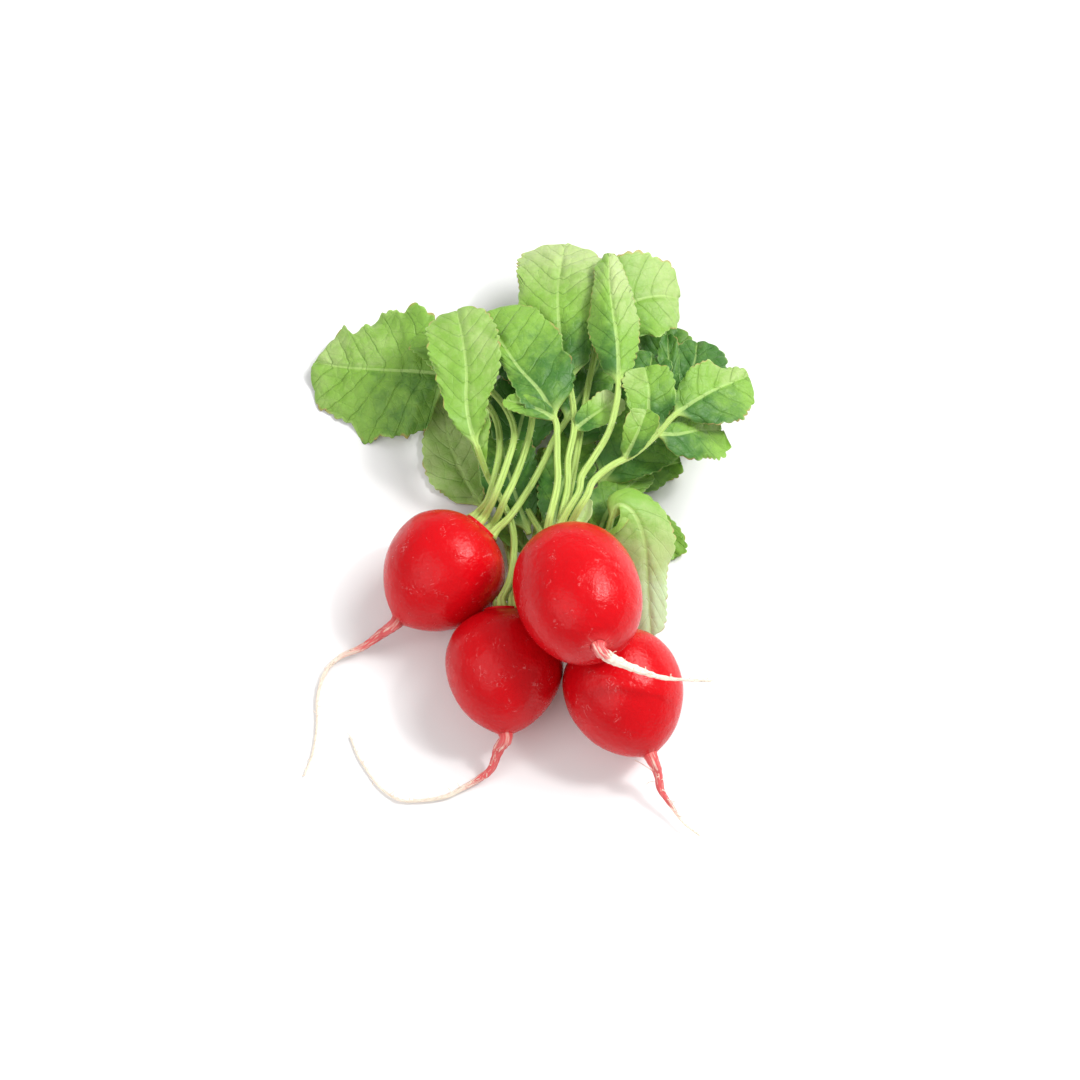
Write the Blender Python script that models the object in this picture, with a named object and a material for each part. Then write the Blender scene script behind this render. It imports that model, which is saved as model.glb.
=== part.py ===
"""A bunch of four red radishes lying on a table.

Each root, with the tail that grows from it, is one solid. Each leaf, with its stalk, midrib and side
lobes, is one solid too. Lengths are in millimetres until the meshes are made, which are in metres.
The leaves are laid one on another, lowest first, so that none cuts through its neighbours.
"""

import math

import bmesh
import bpy
import numpy as np

MM = 0.001                 # metres in a millimetre

# Roots
ROOT_SIDES = 18            # sides of a root's rings
CROWN_RADIUS = 5.0         # flat face that the stalks leave from
WIDEST = 0.44              # widest ring, as a part of the way from crown to tail
TAIL_RADIUS = 2.0          # tail where it leaves the root
TAIL_TIP = 0.35            # tail at its free end
SHOULDER_CURVE = 2.3       # how square the shoulder is
LOWER_CURVE = (2.0, 0.58)  # how full the tail side is
TAIL_CURVE = 2.2           # how fast a tail thins
FLAT_DEPTH = 0.45          # how far a root's underside is pressed flat where it rests
GLOBE_STEPS = (0.0, 0.015, 0.06, 0.14, 0.25, 0.38, 0.52, 0.65, 0.76, 0.86, 0.93, 0.98)
TAIL_RINGS = 11

# Leaves
STALK_TOP = 0.85           # radius of a stalk where its blade starts
STALK_BASE = 1.0           # radius of a stalk at the crown
BLADE_HALF = 0.45          # half the thickness of a blade midway between rib and margin
RIB_TIP = 0.5              # half the thickness of the midrib at the tip
SEAT_GAP = 0.3             # clearance between a stalk and the crown
LAY_GAP = 0.6              # clearance between a leaf and what it lies on
FOOT_LENGTH = 2.0          # straight foot of a stalk, square to the crown
STALK_STEPS = 7
PER_SPAN = 12              # points of a smooth path between two way-points
SPREAD_TURNS = 8           # how far a leaf that is raised in one place takes its surroundings along
SMALLEST_HALF = 0.35       # half width that no blade is narrower than
TIP_CURVE = 2.2            # how blunt a blade's tip is
TIP_START = {5: 0.8, 3: 0.7}   # where the tip starts, for five half widths and for three
STALK_FADE = 0.15          # part of the blade over which the stalk's shape fades out
BLADE_STEPS = (0.0, 0.1, 0.22, 0.36, 0.5, 0.63, 0.75, 0.86, 0.94, 1.0)
ACROSS = (-1.0, -0.5, 0.0, 0.5, 1.0)

# Height map that the leaves are laid on
MAP_LOW = (-90.0, -100.0)
MAP_CELL = 0.5
MAP_SIZE = (380, 440)

ROOTS = {
    # centre, axis towards the tail, half length, radius, tail
    "root_left": {
        "centre": (-26.8, -10, 16.0), "axis": (-0.66, -0.72, -0.16), "half": 17.0, "radius": 16.2,
        "tail": [(-42, -24, 9), (-48, -27, 5), (-54, -29, 3), (-58, -33, 2), (-60, -40, 1.6),
                 (-60, -48, 1.3), (-61, -56, 1.2), (-63, -62, 1.1)],
    },
    "root_top": {
        "centre": (9.9, -24.4, 38.8), "axis": (0.24, -0.86, 0.45), "half": 20.5, "radius": 16.3,
        "tail": [(17, -44, 46), (21, -45, 43), (26, -46, 40), (31, -47, 38), (37, -47, 36), (44, -47, 35)],
    },
    "root_middle": {
        "centre": (-9.5, -37.5, 15.8), "axis": (0.02, -0.98, -0.16), "half": 16.8, "radius": 15.7,
        "tail": [(-11, -57, 9), (-13, -61, 5), (-17, -64, 3.5), (-21, -66, 2.7), (-25, -68, 2.3),
                 (-31, -69, 2),
                 (-37, -69, 1.8), (-42, -66, 1.7), (-46, -61, 1.6), (-49, -56, 1.5), (-51, -51, 1.5)],
    },
    "root_right": {
        "centre": (22.5, -44.0, 15.9), "axis": (0.36, -0.92, -0.08), "half": 17.5, "radius": 15.7,
        "tail": [(31, -64, 10), (32, -68, 7), (35, -72, 5), (38, -76, 4), (42, -79, 3)],
    },
}

# One leaf a row, lowest first. seat: place on the crown, to the right of its middle and above it.
# stalk and blade: way-points of the midrib. left and right: half widths along the blade, seen from
# the crown. cup: how far the margins rise, as a part of the half width. lobes: side lobes, each with
# its own rib, half widths and cup.
LEAVES = {
    "leaf_middle_low": {
        "root": "root_middle", "seat": (-1.4, -2.2),
        "stalk": [(-8, -14, 12), (-8, -4, 7), (-10, 5, 5), (-14, 11, 3)],
        "blade": [(-16, 15, 2), (-20, 22, 1), (-24, 31, 1), (-26, 39, 1), (-27, 49, 2)],
        "left": (3, 7, 9, 8, 6), "right": (2, 6, 9, 8, 6), "cup": (0.05, 0.1),
    },
    "leaf_right_low": {
        "root": "root_right", "seat": (1.7, -2.8),
        "stalk": [(17, -18, 8), (17, -6, 5), (18, 4, 3)],
        "blade": [(20, 12, 2), (25, 13, 2), (30, 11, 1), (35, 6, 1), (37, 0, 1)],
        "left": (2, 4, 5, 5, 4), "right": (2, 5, 7, 7, 5), "cup": (0.1, 0.1),
    },
    "leaf_right_side": {
        "root": "root_right", "seat": (-1.1, -2.4),
        "stalk": [(15, -18, 10), (14, -4, 7), (15, 8, 6), (17, 17, 5)],
        "blade": [(20, 23, 4), (25, 26, 3), (30, 27, 2), (35, 28, 1), (39, 29, 1)],
        "left": (3, 6, 7, 6, 4), "right": (2, 5, 6, 6, 4), "cup": (0.1, 0.05),
    },
    "leaf_middle_inner": {
        "root": "root_middle", "seat": (2.4, -0.8),
        "stalk": [(-5, -12, 13), (-3, -4, 9), (-2, 1, 8)],
        "blade": [(-1, 6, 8), (0, 13, 8), (2, 21, 8), (4, 30, 8)],
        "left": (2, 3, 4, 5, 4), "right": (2, 4, 6, 7, 5), "cup": (0.2, 0.2),
        "lobes": [{"rib": [(-2.5, -1.5, 9), (-6, 2, 8), (-9, 6, 7), (-12, 10, 5)],
                   "left": (1, 2.5, 3), "right": (1, 2.5, 3), "cup": (0.1, 0.1)}],
    },
    "leaf_middle_back": {
        "root": "root_middle", "seat": (2.6, 1.9),
        "stalk": [(-6, -13, 16), (-2, -2, 12), (2, 8, 9), (6, 18, 7), (9, 26, 5)],
        "blade": [(11, 32, 4), (13, 39, 3), (16, 47, 2), (18, 56, 1)],
        "left": (3, 6, 9, 9, 7), "right": (3, 7, 10, 10, 7), "cup": (0.1, 0.1),
    },
    "leaf_right_inner": {
        "root": "root_right", "seat": (-3.3, -0.4),
        "stalk": [(11, -17, 13), (4, -4, 12), (-1, 4, 13), (-4, 10, 12)],
        "blade": [(-7, 15, 11), (-10, 24, 10), (-12, 33, 9), (-13, 43, 8), (-13, 51, 7)],
        "left": (2, 4, 6, 7, 6), "right": (2, 6, 9, 9, 7), "cup": (0.1, 0.1),
    },
    "leaf_right_back": {
        "root": "root_right", "seat": (-0.3, 0.9),
        "stalk": [(15, -17, 13), (13, -3, 12), (14, 7, 12), (17, 17, 12), (23, 24, 12)],
        "blade": [(29, 29, 12), (36, 39, 12), (40, 48, 11), (43, 56, 9), (44, 64, 5)],
        "left": (3, 6, 8, 7, 5), "right": (3, 7, 10, 10, 8), "cup": (0.15, 0.0),
        "lobes": [{"rib": [(27, 27, 13), (27, 33, 16), (28, 40, 18), (30, 48, 19), (31, 55, 17)],
                   "left": (1.5, 5, 6), "right": (1.5, 5, 6), "cup": (0.1, 0.1)},
                  {"rib": [(33, 33, 14), (35, 41, 17), (36, 49, 19), (36, 60, 18)],
                   "left": (1.5, 2, 2.5), "right": (1.5, 3, 3), "cup": (0.2, 0.2)}],
    },
    "leaf_left_near": {
        "root": "root_left", "seat": (3.5, 0.4),
        "stalk": [(-8, 5, 20), (-3, 13, 20), (1, 21, 20), (4, 28, 20)],
        "blade": [(7, 33, 20), (11, 41, 19), (15, 49, 17), (18, 57, 14)],
        "left": (3, 6, 8, 8, 6), "right": (3, 6, 7, 7, 6), "cup": (0.1, 0.1),
    },
    "leaf_left_inner": {
        "root": "root_left", "seat": (1.2, -1.4),
        "stalk": [(-10, 7, 20), (-6, 17, 21), (-3, 28, 21), (-2, 36, 20)],
        "blade": [(-2, 42, 19), (-4, 50, 17), (-6, 59, 14), (-8, 67, 11)],
        "left": (3, 6, 8, 8, 6), "right": (3, 7, 10, 11, 8), "cup": (0.1, 0.1),
    },
    "leaf_left_far": {
        "root": "root_left", "seat": (-3.6, 0.0),
        "stalk": [(-14, 9, 22), (-12, 17, 22), (-11, 25, 21), (-12, 34, 18), (-16, 42, 15)],
        "blade": [(-23, 49, 13), (-34, 52, 11), (-44, 54, 8), (-54, 56, 5), (-64, 59, 2)],
        "left": (4, 14, 17, 17, 12), "right": (5, 13, 17, 15, 11), "cup": (-0.35, 0.1),
    },
    "leaf_left_mid": {
        "root": "root_left", "seat": (-1.2, 1.4),
        "stalk": [(-12, 9, 24), (-9, 18, 24), (-7, 27, 24), (-9, 35, 22), (-13, 42, 19)],
        "blade": [(-18, 48, 17), (-23, 54, 15), (-28, 59, 12), (-33, 63, 9)],
        "left": (3, 6, 7, 7, 6), "right": (3, 6, 8, 8, 7), "cup": (0.1, 0.1),
    },
    "leaf_right_pale": {
        "root": "root_right", "seat": (3.3, 0.2),
        "stalk": [(20, -20, 13), (19, -8, 13), (18, -2, 17)],
        "blade": [(19, 3, 22), (21, 6, 25), (25, 4, 24), (28, -3, 20), (29, -13, 13), (30, -24, 4)],
        "left": (3, 6, 7, 5, 4), "right": (3, 7, 9, 8, 6), "cup": (-0.3, -0.3),
    },
    "leaf_top_scrap": {
        "root": "root_top", "seat": (3.5, -1.8),
        "stalk": [],
        "blade": [(10, 0, 26), (12, 3, 26), (13, 7, 27)],
        "left": (1.2, 1.6, 1.8, 1.6, 1.3), "right": (1.2, 1.6, 1.8, 1.6, 1.3), "cup": (0.2, 0.2),
    },
    "leaf_top_back": {
        "root": "root_top", "seat": (0.2, -3.2),
        "stalk": [(8, 10, 25), (10, 22, 24), (12, 36, 22), (14, 48, 20)],
        "blade": [(17, 60, 19), (22, 67, 19), (28, 71, 18), (34, 73, 16), (39, 74, 12)],
        "left": (4, 9, 12, 11, 9), "right": (3, 7, 10, 10, 8), "cup": (0.1, 0.1),
    },
    "leaf_top_large": {
        "root": "root_top", "seat": (-0.4, -0.8),
        "stalk": [(7.2, 8, 27), (7.4, 17, 27), (9, 26, 27), (9, 33, 26)],
        "blade": [(8, 41, 25), (6, 51, 24), (5, 62, 23), (5, 74, 20), (7, 90, 14)],
        "left": (3, 7, 9, 11, 11), "right": (3, 7, 9, 11, 11), "cup": (-0.1, -0.1),
        "lobes": [{"rib": [(9, 26, 27), (13, 29, 28), (17, 32, 28), (21, 36, 27)],
                   "left": (1.5, 3.5, 4), "right": (1.5, 3.5, 4), "cup": (0.2, 0.2)}],
    },
    "leaf_top_ridge": {
        "root": "root_top", "seat": (0.6, 3.0),
        "stalk": [(10, 6, 30), (11, 11, 31), (14, 16, 32), (18, 23, 33), (20, 30, 33)],
        "blade": [(21, 37, 33), (21, 49, 32), (20, 59, 31), (19, 70, 29), (19, 82, 25)],
        "left": (2, 5, 7, 6, 4), "right": (2, 4, 6, 6, 5), "cup": (-0.3, -0.5),
    },
    "leaf_top_side": {
        "root": "root_top", "seat": (2.9, 1.4),
        "stalk": [(12, 4, 30), (14, 9, 30), (19, 14, 30), (25, 18, 30), (31, 24, 30)],
        "blade": [(36, 30, 30), (42, 35, 29), (49, 40, 27), (57, 45, 23)],
        "left": (2, 5, 8, 7, 5), "right": (2, 5, 8, 9, 7), "cup": (0.15, -0.1),
        "lobes": [{"rib": [(31, 24, 30), (37, 25, 28), (43, 28, 24), (49, 30, 19)],
                   "left": (1.5, 5, 6), "right": (1.5, 6, 7), "cup": (-0.1, -0.2)},
                  {"rib": [(31, 24, 30), (29, 30, 32), (29, 36, 33), (28, 43, 32)],
                   "left": (1.5, 5, 6), "right": (1.5, 5, 6), "cup": (0.1, 0.1)},
                  {"rib": [(22, 16, 30), (24, 19, 33), (26, 23, 35), (28, 28, 36)],
                   "left": (1, 3, 4), "right": (1, 3, 4), "cup": (0.5, 0.4)}],
    },
    "leaf_top_front": {
        "root": "root_top", "seat": (-2.9, 0.8),
        "stalk": [(4.5, 9, 28), (4.5, 17, 29), (4.5, 23, 30)],
        "blade": [(4, 28, 31), (0, 36, 32), (-6, 44, 31), (-11, 53, 29), (-17, 63, 25)],
        "left": (3, 5, 4, 3, 3), "right": (3, 10, 14, 16, 15), "cup": (0.1, -0.1),
        "lobes": [{"rib": [(3.5, 28, 31), (0, 30, 32), (-5, 32, 32), (-10, 34, 31)],
                   "left": (1, 2.5, 2.5), "right": (1, 3, 3), "cup": (0.2, 0.2)}],
    },
    "leaf_middle_pale": {
        "root": "root_middle", "seat": (-0.4, 1.8),
        "stalk": [(-8, -13, 18), (-7, -3, 17), (-8, 5, 16), (-11, 12, 16), (-14, 17, 18)],
        "blade": [(-17, 22, 22), (-19, 28, 26), (-20, 35, 28), (-20, 43, 29), (-21, 52, 28), (-23, 64, 24)],
        "left": (1.5, 4, 7, 9, 9), "right": (1.5, 4, 7, 9, 9), "cup": (0.1, 0.1),
        "lobes": [{"rib": [(-14.5, 19, 23), (-16, 24, 27), (-16, 29, 29), (-16, 34, 30)],
                   "left": (1, 2, 2), "right": (1, 2.5, 3), "cup": (0.1, 0.1)}],
    },
}

# One leaf's stalk goes under the stalks of the left root, and its blade over them.
UNDER = "leaf_middle_pale"
BEFORE_UNDER = "leaf_left_near"
UNDER_ROWS = 8

RED = (0.62, 0.01, 0.02, 1.0)
GREEN = (0.28, 0.52, 0.10, 1.0)
PALE_GREEN = (0.45, 0.65, 0.28, 1.0)


def clear_scene():
    for item in list(bpy.data.objects):
        bpy.data.objects.remove(item, do_unlink=True)


def unit(vector):
    vector = np.asarray(vector, float)
    return vector / np.linalg.norm(vector)


def smooth_path(points, per_span=PER_SPAN):
    """Points of a smooth curve through the way-points, and the distance of each along the curve."""
    points = np.asarray(points, float)
    padded = np.vstack([2 * points[0] - points[1], points, 2 * points[-1] - points[-2]])
    curve = []
    for a, b, c, d in zip(padded, padded[1:], padded[2:], padded[3:]):
        for step in range(per_span):
            t = step / per_span
            curve.append(0.5 * (2 * b + (c - a) * t + (2 * a - 5 * b + 4 * c - d) * t ** 2
                                + (3 * b - a - 3 * c + d) * t ** 3))
    curve.append(points[-1])
    curve = np.array(curve)
    steps = np.linalg.norm(np.diff(curve, axis=0), axis=1)
    return curve, np.concatenate([[0.0], np.cumsum(steps)])


def at_distances(curve, along, wanted):
    return np.stack([np.interp(wanted, along, curve[:, axis]) for axis in range(3)], axis=1)


def mesh_object(name, verts, faces, material):
    mesh = bpy.data.meshes.new(name)
    mesh.from_pydata([tuple(MM * value for value in vert) for vert in verts], [], faces)
    mesh.materials.append(material)
    body = bmesh.new()
    body.from_mesh(mesh)
    bmesh.ops.recalc_face_normals(body, faces=body.faces)
    body.to_mesh(mesh)
    body.free()
    mesh.shade_smooth()
    item = bpy.data.objects.new(name, mesh)
    bpy.context.collection.objects.link(item)
    return item


def tube_faces(rings, sides):
    """Quads between rings of the same number of points, with a flat face at each end."""
    faces = [tuple(range(sides))[::-1]]
    for ring in range(rings - 1):
        for side in range(sides):
            following = (side + 1) % sides
            faces.append((ring * sides + side, ring * sides + following,
                          (ring + 1) * sides + following, (ring + 1) * sides + side))
    faces.append(tuple(range((rings - 1) * sides, rings * sides)))
    return faces


def make_material(name, colour, roughness):
    material = bpy.data.materials.new(name)
    material.use_nodes = True
    shader = material.node_tree.nodes["Principled BSDF"]
    shader.inputs["Base Color"].default_value = colour
    shader.inputs["Roughness"].default_value = roughness
    shader.inputs["Metallic"].default_value = 0.0
    return material


# ---------------------------------------------------------------- roots

def globe_radius(t, radius):
    """Radius of a root, full at the shoulder and leaner towards the tail."""
    if t < WIDEST:
        return max(CROWN_RADIUS, radius * math.sqrt(1 - ((WIDEST - t) / WIDEST) ** SHOULDER_CURVE))
    return max(TAIL_RADIUS, radius * (1 - ((t - WIDEST) / (1 - WIDEST)) ** LOWER_CURVE[0]) ** LOWER_CURVE[1])


def root_rings(root):
    """Middle and radius of each ring from the crown to the end of the tail."""
    centre, axis = np.array(root["centre"], float), unit(root["axis"])
    crown, end = centre - axis * root["half"], centre + axis * root["half"]
    middles = [crown + (end - crown) * t for t in GLOBE_STEPS]
    radii = [globe_radius(t, root["radius"]) for t in GLOBE_STEPS]
    curve, along = smooth_path([end - axis, end + axis * 1.5] + root["tail"])
    for ring in range(1, TAIL_RINGS + 1):
        part = (ring / TAIL_RINGS) ** 1.15
        middles.append(at_distances(curve, along, [along[-1] * part])[0])
        radii.append(TAIL_TIP + (TAIL_RADIUS - TAIL_TIP) * (1 - part) ** TAIL_CURVE)
    return np.array(middles), radii


def sweep(middles, radii, sides):
    """Rings square to the path through their middles, each turned as little as possible."""
    tangents = np.gradient(middles, axis=0)
    side = unit(np.cross(tangents[0], (0.0, 0.0, 1.0)))
    verts = []
    for middle, tangent, radius in zip(middles, tangents, radii):
        tangent = unit(tangent)
        side = unit(side - tangent * np.dot(side, tangent))
        up = np.cross(side, tangent)
        for step in range(sides):
            angle = 2 * math.pi * (step + 0.5) / sides
            verts.append(middle + radius * (math.cos(angle) * side + math.sin(angle) * up))
    return np.array(verts)


def make_root(name, root, material):
    middles, radii = root_rings(root)
    verts = sweep(middles, radii, ROOT_SIDES)
    item = mesh_object(name, verts, tube_faces(len(middles), ROOT_SIDES), material)
    if root["centre"][2] < 2 * root["radius"]:
        press_flat(item)
    return item


def press_flat(item):
    """Sets the root down on the table with a small flat under it."""
    body = bmesh.new()
    body.from_mesh(item.data)
    lowest = min(vert.co.z for vert in body.verts)
    level = lowest + FLAT_DEPTH * MM
    cut = bmesh.ops.bisect_plane(body, geom=body.verts[:] + body.edges[:] + body.faces[:],
                                 plane_co=(0, 0, level), plane_no=(0, 0, 1), clear_inner=True)
    rim = [part for part in cut["geom_cut"] if isinstance(part, bmesh.types.BMEdge)]
    bmesh.ops.contextual_create(body, geom=rim)
    bmesh.ops.translate(body, verts=body.verts, vec=(0, 0, -level))
    bmesh.ops.recalc_face_normals(body, faces=body.faces)
    body.to_mesh(item.data)
    body.free()


# ---------------------------------------------------------------- leaves

def crown_seat(root, sideways, upwards):
    """Foot of a stalk just off the crown, and the way that it leaves."""
    outward = -unit(root["axis"])
    side = unit(np.cross(outward, (0.0, 0.0, 1.0)))
    up = np.cross(side, outward)
    face = np.array(root["centre"], float) + outward * (root["half"] + SEAT_GAP)
    return face + sideways * side + upwards * up, outward


def half_width(widths, t):
    """Half width of a blade at t along it, rounded off at the tip."""
    reach = TIP_START[len(widths)]
    width = np.interp(t, np.linspace(0, reach, len(widths)), widths)
    if t > reach:
        width *= math.sqrt(max(0.0, 1 - ((t - reach) / (1 - reach)) ** TIP_CURVE))
    return max(width, SMALLEST_HALF)


def sheet_frame(spine):
    """Sideways and upward directions at each station of a midrib."""
    tangents = np.gradient(spine, axis=0)
    tangents /= np.linalg.norm(tangents, axis=1)[:, None]
    sides = np.cross(tangents, (0.0, 0.0, 1.0))
    sides /= np.linalg.norm(sides, axis=1)[:, None]
    return sides, np.cross(sides, tangents)


class Sheet:
    """A stalk and blade, or a side lobe, as stations along a rib with five points across each."""

    def __init__(self, spine, blade, left, right, cup, base_radius):
        self.spine = spine
        self.blade = blade                      # how far along the blade each station is; below 0 on a stalk
        self.sides, self.ups = sheet_frame(spine)
        on_blade = np.clip(blade / STALK_FADE, 0, 1)
        self.mix = on_blade * on_blade * (3 - 2 * on_blade)
        stalk = np.clip(1 + np.minimum(blade, 0), 0, 1)
        self.rib = np.where(blade <= 0, base_radius + (STALK_TOP - base_radius) * stalk,
                            STALK_TOP + (RIB_TIP - STALK_TOP) * np.clip(blade, 0, 1))
        self.grid = np.zeros((len(spine), len(ACROSS), 3))
        self.thick = np.zeros((len(spine), len(ACROSS)))
        for row, t in enumerate(blade):
            for column, u in enumerate(ACROSS):
                widths, rise = (left, cup[0]) if u < 0 else (right, cup[1])
                wide = half_width(widths, max(t, 0)) if t > 0 else self.rib[row]
                wide = self.rib[row] + (wide - self.rib[row]) * self.mix[row]
                self.grid[row, column] = (spine[row] + self.sides[row] * u * wide
                                          + self.ups[row] * rise * wide * u * u * self.mix[row])
                round_half = self.rib[row] * math.sqrt(1 - u * u)
                flat_half = (self.rib[row], BLADE_HALF, 0.1)[round(abs(u) * 2)]
                self.thick[row, column] = round_half + (flat_half - round_half) * self.mix[row]

    def rings(self):
        """Eight points round each station: a round stalk that opens out into a thin blade."""
        verts = []
        order = [(0, 0), (1, 1), (2, 1), (3, 1), (4, 0), (3, -1), (2, -1), (1, -1)]
        for row in range(len(self.spine)):
            middle = self.grid[row, 2]
            for corner, (column, face) in enumerate(order):
                angle = math.pi - corner * math.pi / 4
                round_point = middle + self.rib[row] * (math.cos(angle) * self.sides[row]
                                                        + math.sin(angle) * self.ups[row])
                flat_point = self.grid[row, column] + face * self.thick[row, column] * self.ups[row]
                verts.append(round_point + (flat_point - round_point) * self.mix[row])
        return verts


def leaf_sheets(leaf):
    """The main sheet of a leaf and one for each side lobe."""
    foot, outward = crown_seat(ROOTS[leaf["root"]], *leaf["seat"])
    stalk = [foot, foot + outward * FOOT_LENGTH] + leaf["stalk"]
    curve, along = smooth_path(stalk + leaf["blade"])
    start = along[len(stalk) * PER_SPAN]
    on_stalk = np.concatenate([[0.0], np.linspace(FOOT_LENGTH, start, STALK_STEPS, endpoint=False)])
    wanted = np.concatenate([on_stalk, start + (along[-1] - start) * np.array(BLADE_STEPS)])
    blade = np.concatenate([on_stalk / start - 1, BLADE_STEPS])
    spine = at_distances(curve, along, wanted)
    sheets = [Sheet(spine, blade, leaf["left"], leaf["right"], leaf["cup"], STALK_BASE)]
    for lobe in leaf.get("lobes", []):
        curve, along = smooth_path(lobe["rib"])
        steps = np.array([0.0, 0.2, 0.4, 0.6, 0.78, 0.92, 1.0])
        sheets.append(Sheet(at_distances(curve, along, steps * along[-1]), steps,
                            lobe["left"], lobe["right"], lobe["cup"], STALK_TOP))
    return sheets


# ---------------------------------------------------------------- laying the leaves

class HeightMap:
    """The top of everything laid so far, on small square cells."""

    def __init__(self):
        self.top = np.zeros(MAP_SIZE)

    def cells(self, points):
        low = np.array(MAP_LOW)
        cells = np.floor((points[..., :2] - low) / MAP_CELL).astype(int)
        return np.clip(cells, 1, np.array(MAP_SIZE) - 2)

    def below(self, points):
        """Highest top in the cells around each point."""
        cells = self.cells(points)
        found = np.zeros(points.shape[:-1])
        for x in (-1, 0, 1):
            for y in (-1, 0, 1):
                found = np.maximum(found, self.top[cells[..., 0] + x, cells[..., 1] + y])
        return found

    def add(self, points, tops):
        cells = self.cells(points)
        np.maximum.at(self.top, (cells[..., 0], cells[..., 1]), tops)


def quad_samples(field, row, column, count=18):
    """Values spread evenly over one cell of a grid."""
    t = np.linspace(0, 1, count)[:, None, None]
    u = np.linspace(0, 1, count)[None, :, None]
    corners = [np.atleast_1d(field[row + a, column + b]) for a in (0, 1) for b in (0, 1)]
    return ((1 - t) * (1 - u) * corners[0] + (1 - t) * u * corners[1]
            + t * (1 - u) * corners[2] + t * u * corners[3])


def foot_on_rib(main, lobe):
    """How far a side lobe moves so that it starts on the middle of the leaf's own rib."""
    rib, _ = smooth_path(main.grid[:, 2], 6)
    foot = lobe.grid[0, 2]
    nearest = rib[np.argmin(np.linalg.norm((rib - foot)[:, :2], axis=1))]
    return nearest - foot


def lay_rows(sheet, heights, held, last=None):
    """Raises the rows of a sheet, but for the first few, until they clear what lies below them."""
    rows, columns = sheet.thick.shape
    need = np.zeros((rows, columns))
    for row in range(rows - 1 if last is None else last):
        for column in range(columns - 1):
            points = quad_samples(sheet.grid, row, column)
            thick = quad_samples(sheet.thick, row, column)[..., 0]
            short = heights.below(points) + thick - points[..., 2]
            short = np.where(heights.below(points) > 0.01, short + LAY_GAP, short).max()
            need[row:row + 2, column:column + 2] = np.maximum(need[row:row + 2, column:column + 2], short)
    need[:held] = 0
    even = need.max(axis=1, keepdims=True)
    need = even + (need - even) * sheet.mix[:, None]
    rise = need.copy()
    for _ in range(SPREAD_TURNS):
        spread = np.pad(rise, 1, mode="edge")
        spread = (spread[:-2, 1:-1] + spread[2:, 1:-1] + spread[1:-1, :-2] + spread[1:-1, 2:]) / 4
        rise = np.maximum(need, spread)
        rise[:held] = 0
    sheet.grid[..., 2] += rise


def add_to_map(sheet, heights, last=None):
    rows, columns = sheet.thick.shape
    for row in range(rows - 1 if last is None else last):
        for column in range(columns - 1):
            points = quad_samples(sheet.grid, row, column)
            heights.add(points, points[..., 2] + quad_samples(sheet.thick, row, column)[..., 0])


def lay_leaves():
    """Every leaf's sheets, laid on the table and on the leaves below."""
    heights = HeightMap()
    laid = {name: leaf_sheets(leaf) for name, leaf in LEAVES.items()}
    for name, sheets in laid.items():
        if name == BEFORE_UNDER:
            lay_rows(laid[UNDER][0], heights, 2, UNDER_ROWS)
            add_to_map(laid[UNDER][0], heights, UNDER_ROWS)
        lay_rows(sheets[0], heights, UNDER_ROWS if name == UNDER else 2)
        for lobe in sheets[1:]:
            lobe.grid += foot_on_rib(sheets[0], lobe)
            lay_rows(lobe, heights, 1)
        for sheet in sheets:
            add_to_map(sheet, heights)
    return laid


def make_leaf(name, sheets, material):
    parts = []
    for number, sheet in enumerate(sheets):
        verts = sheet.rings()
        part_name = name if number == 0 else f"{name}_lobe_{number}"
        parts.append(mesh_object(part_name, verts, tube_faces(len(sheet.spine), 8), material))
    for part in parts[1:]:
        part.hide_render = True
        part.display_type = "WIRE"
        join = parts[0].modifiers.new(part.name, "BOOLEAN")
        join.operation = "UNION"
        join.object = part
    return parts


def centre_on_origin(items):
    """Puts the middle of the bunch over the origin."""
    corners = np.array([vert.co for item in items for vert in item.data.vertices])
    shift = -(corners.min(axis=0) + corners.max(axis=0)) / 2
    for mesh in {item.data for item in items}:
        for vert in mesh.vertices:
            vert.co.x += shift[0]
            vert.co.y += shift[1]


def main():
    clear_scene()
    items = [make_root(name, root, make_material(name, RED, 0.25)) for name, root in ROOTS.items()]
    for name, sheets in lay_leaves().items():
        colour = PALE_GREEN if "pale" in name else GREEN
        items += make_leaf(name, sheets, make_material(name, colour, 0.55))
    centre_on_origin(items)


main()
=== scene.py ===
"""The finish of a bunch of four radishes: skin, tails, rootlets, leaves, stalks and bristles.

Lengths in the tables and shape functions are millimetres; every mesh is made in metres. The leaves are
laid one on another by the same rules as the construction model's, and then given their fine shape.
"""

import math

import bpy
import numpy as np
from bpy.props import FloatProperty, FloatVectorProperty, IntProperty, PointerProperty
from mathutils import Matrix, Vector, noise


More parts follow.
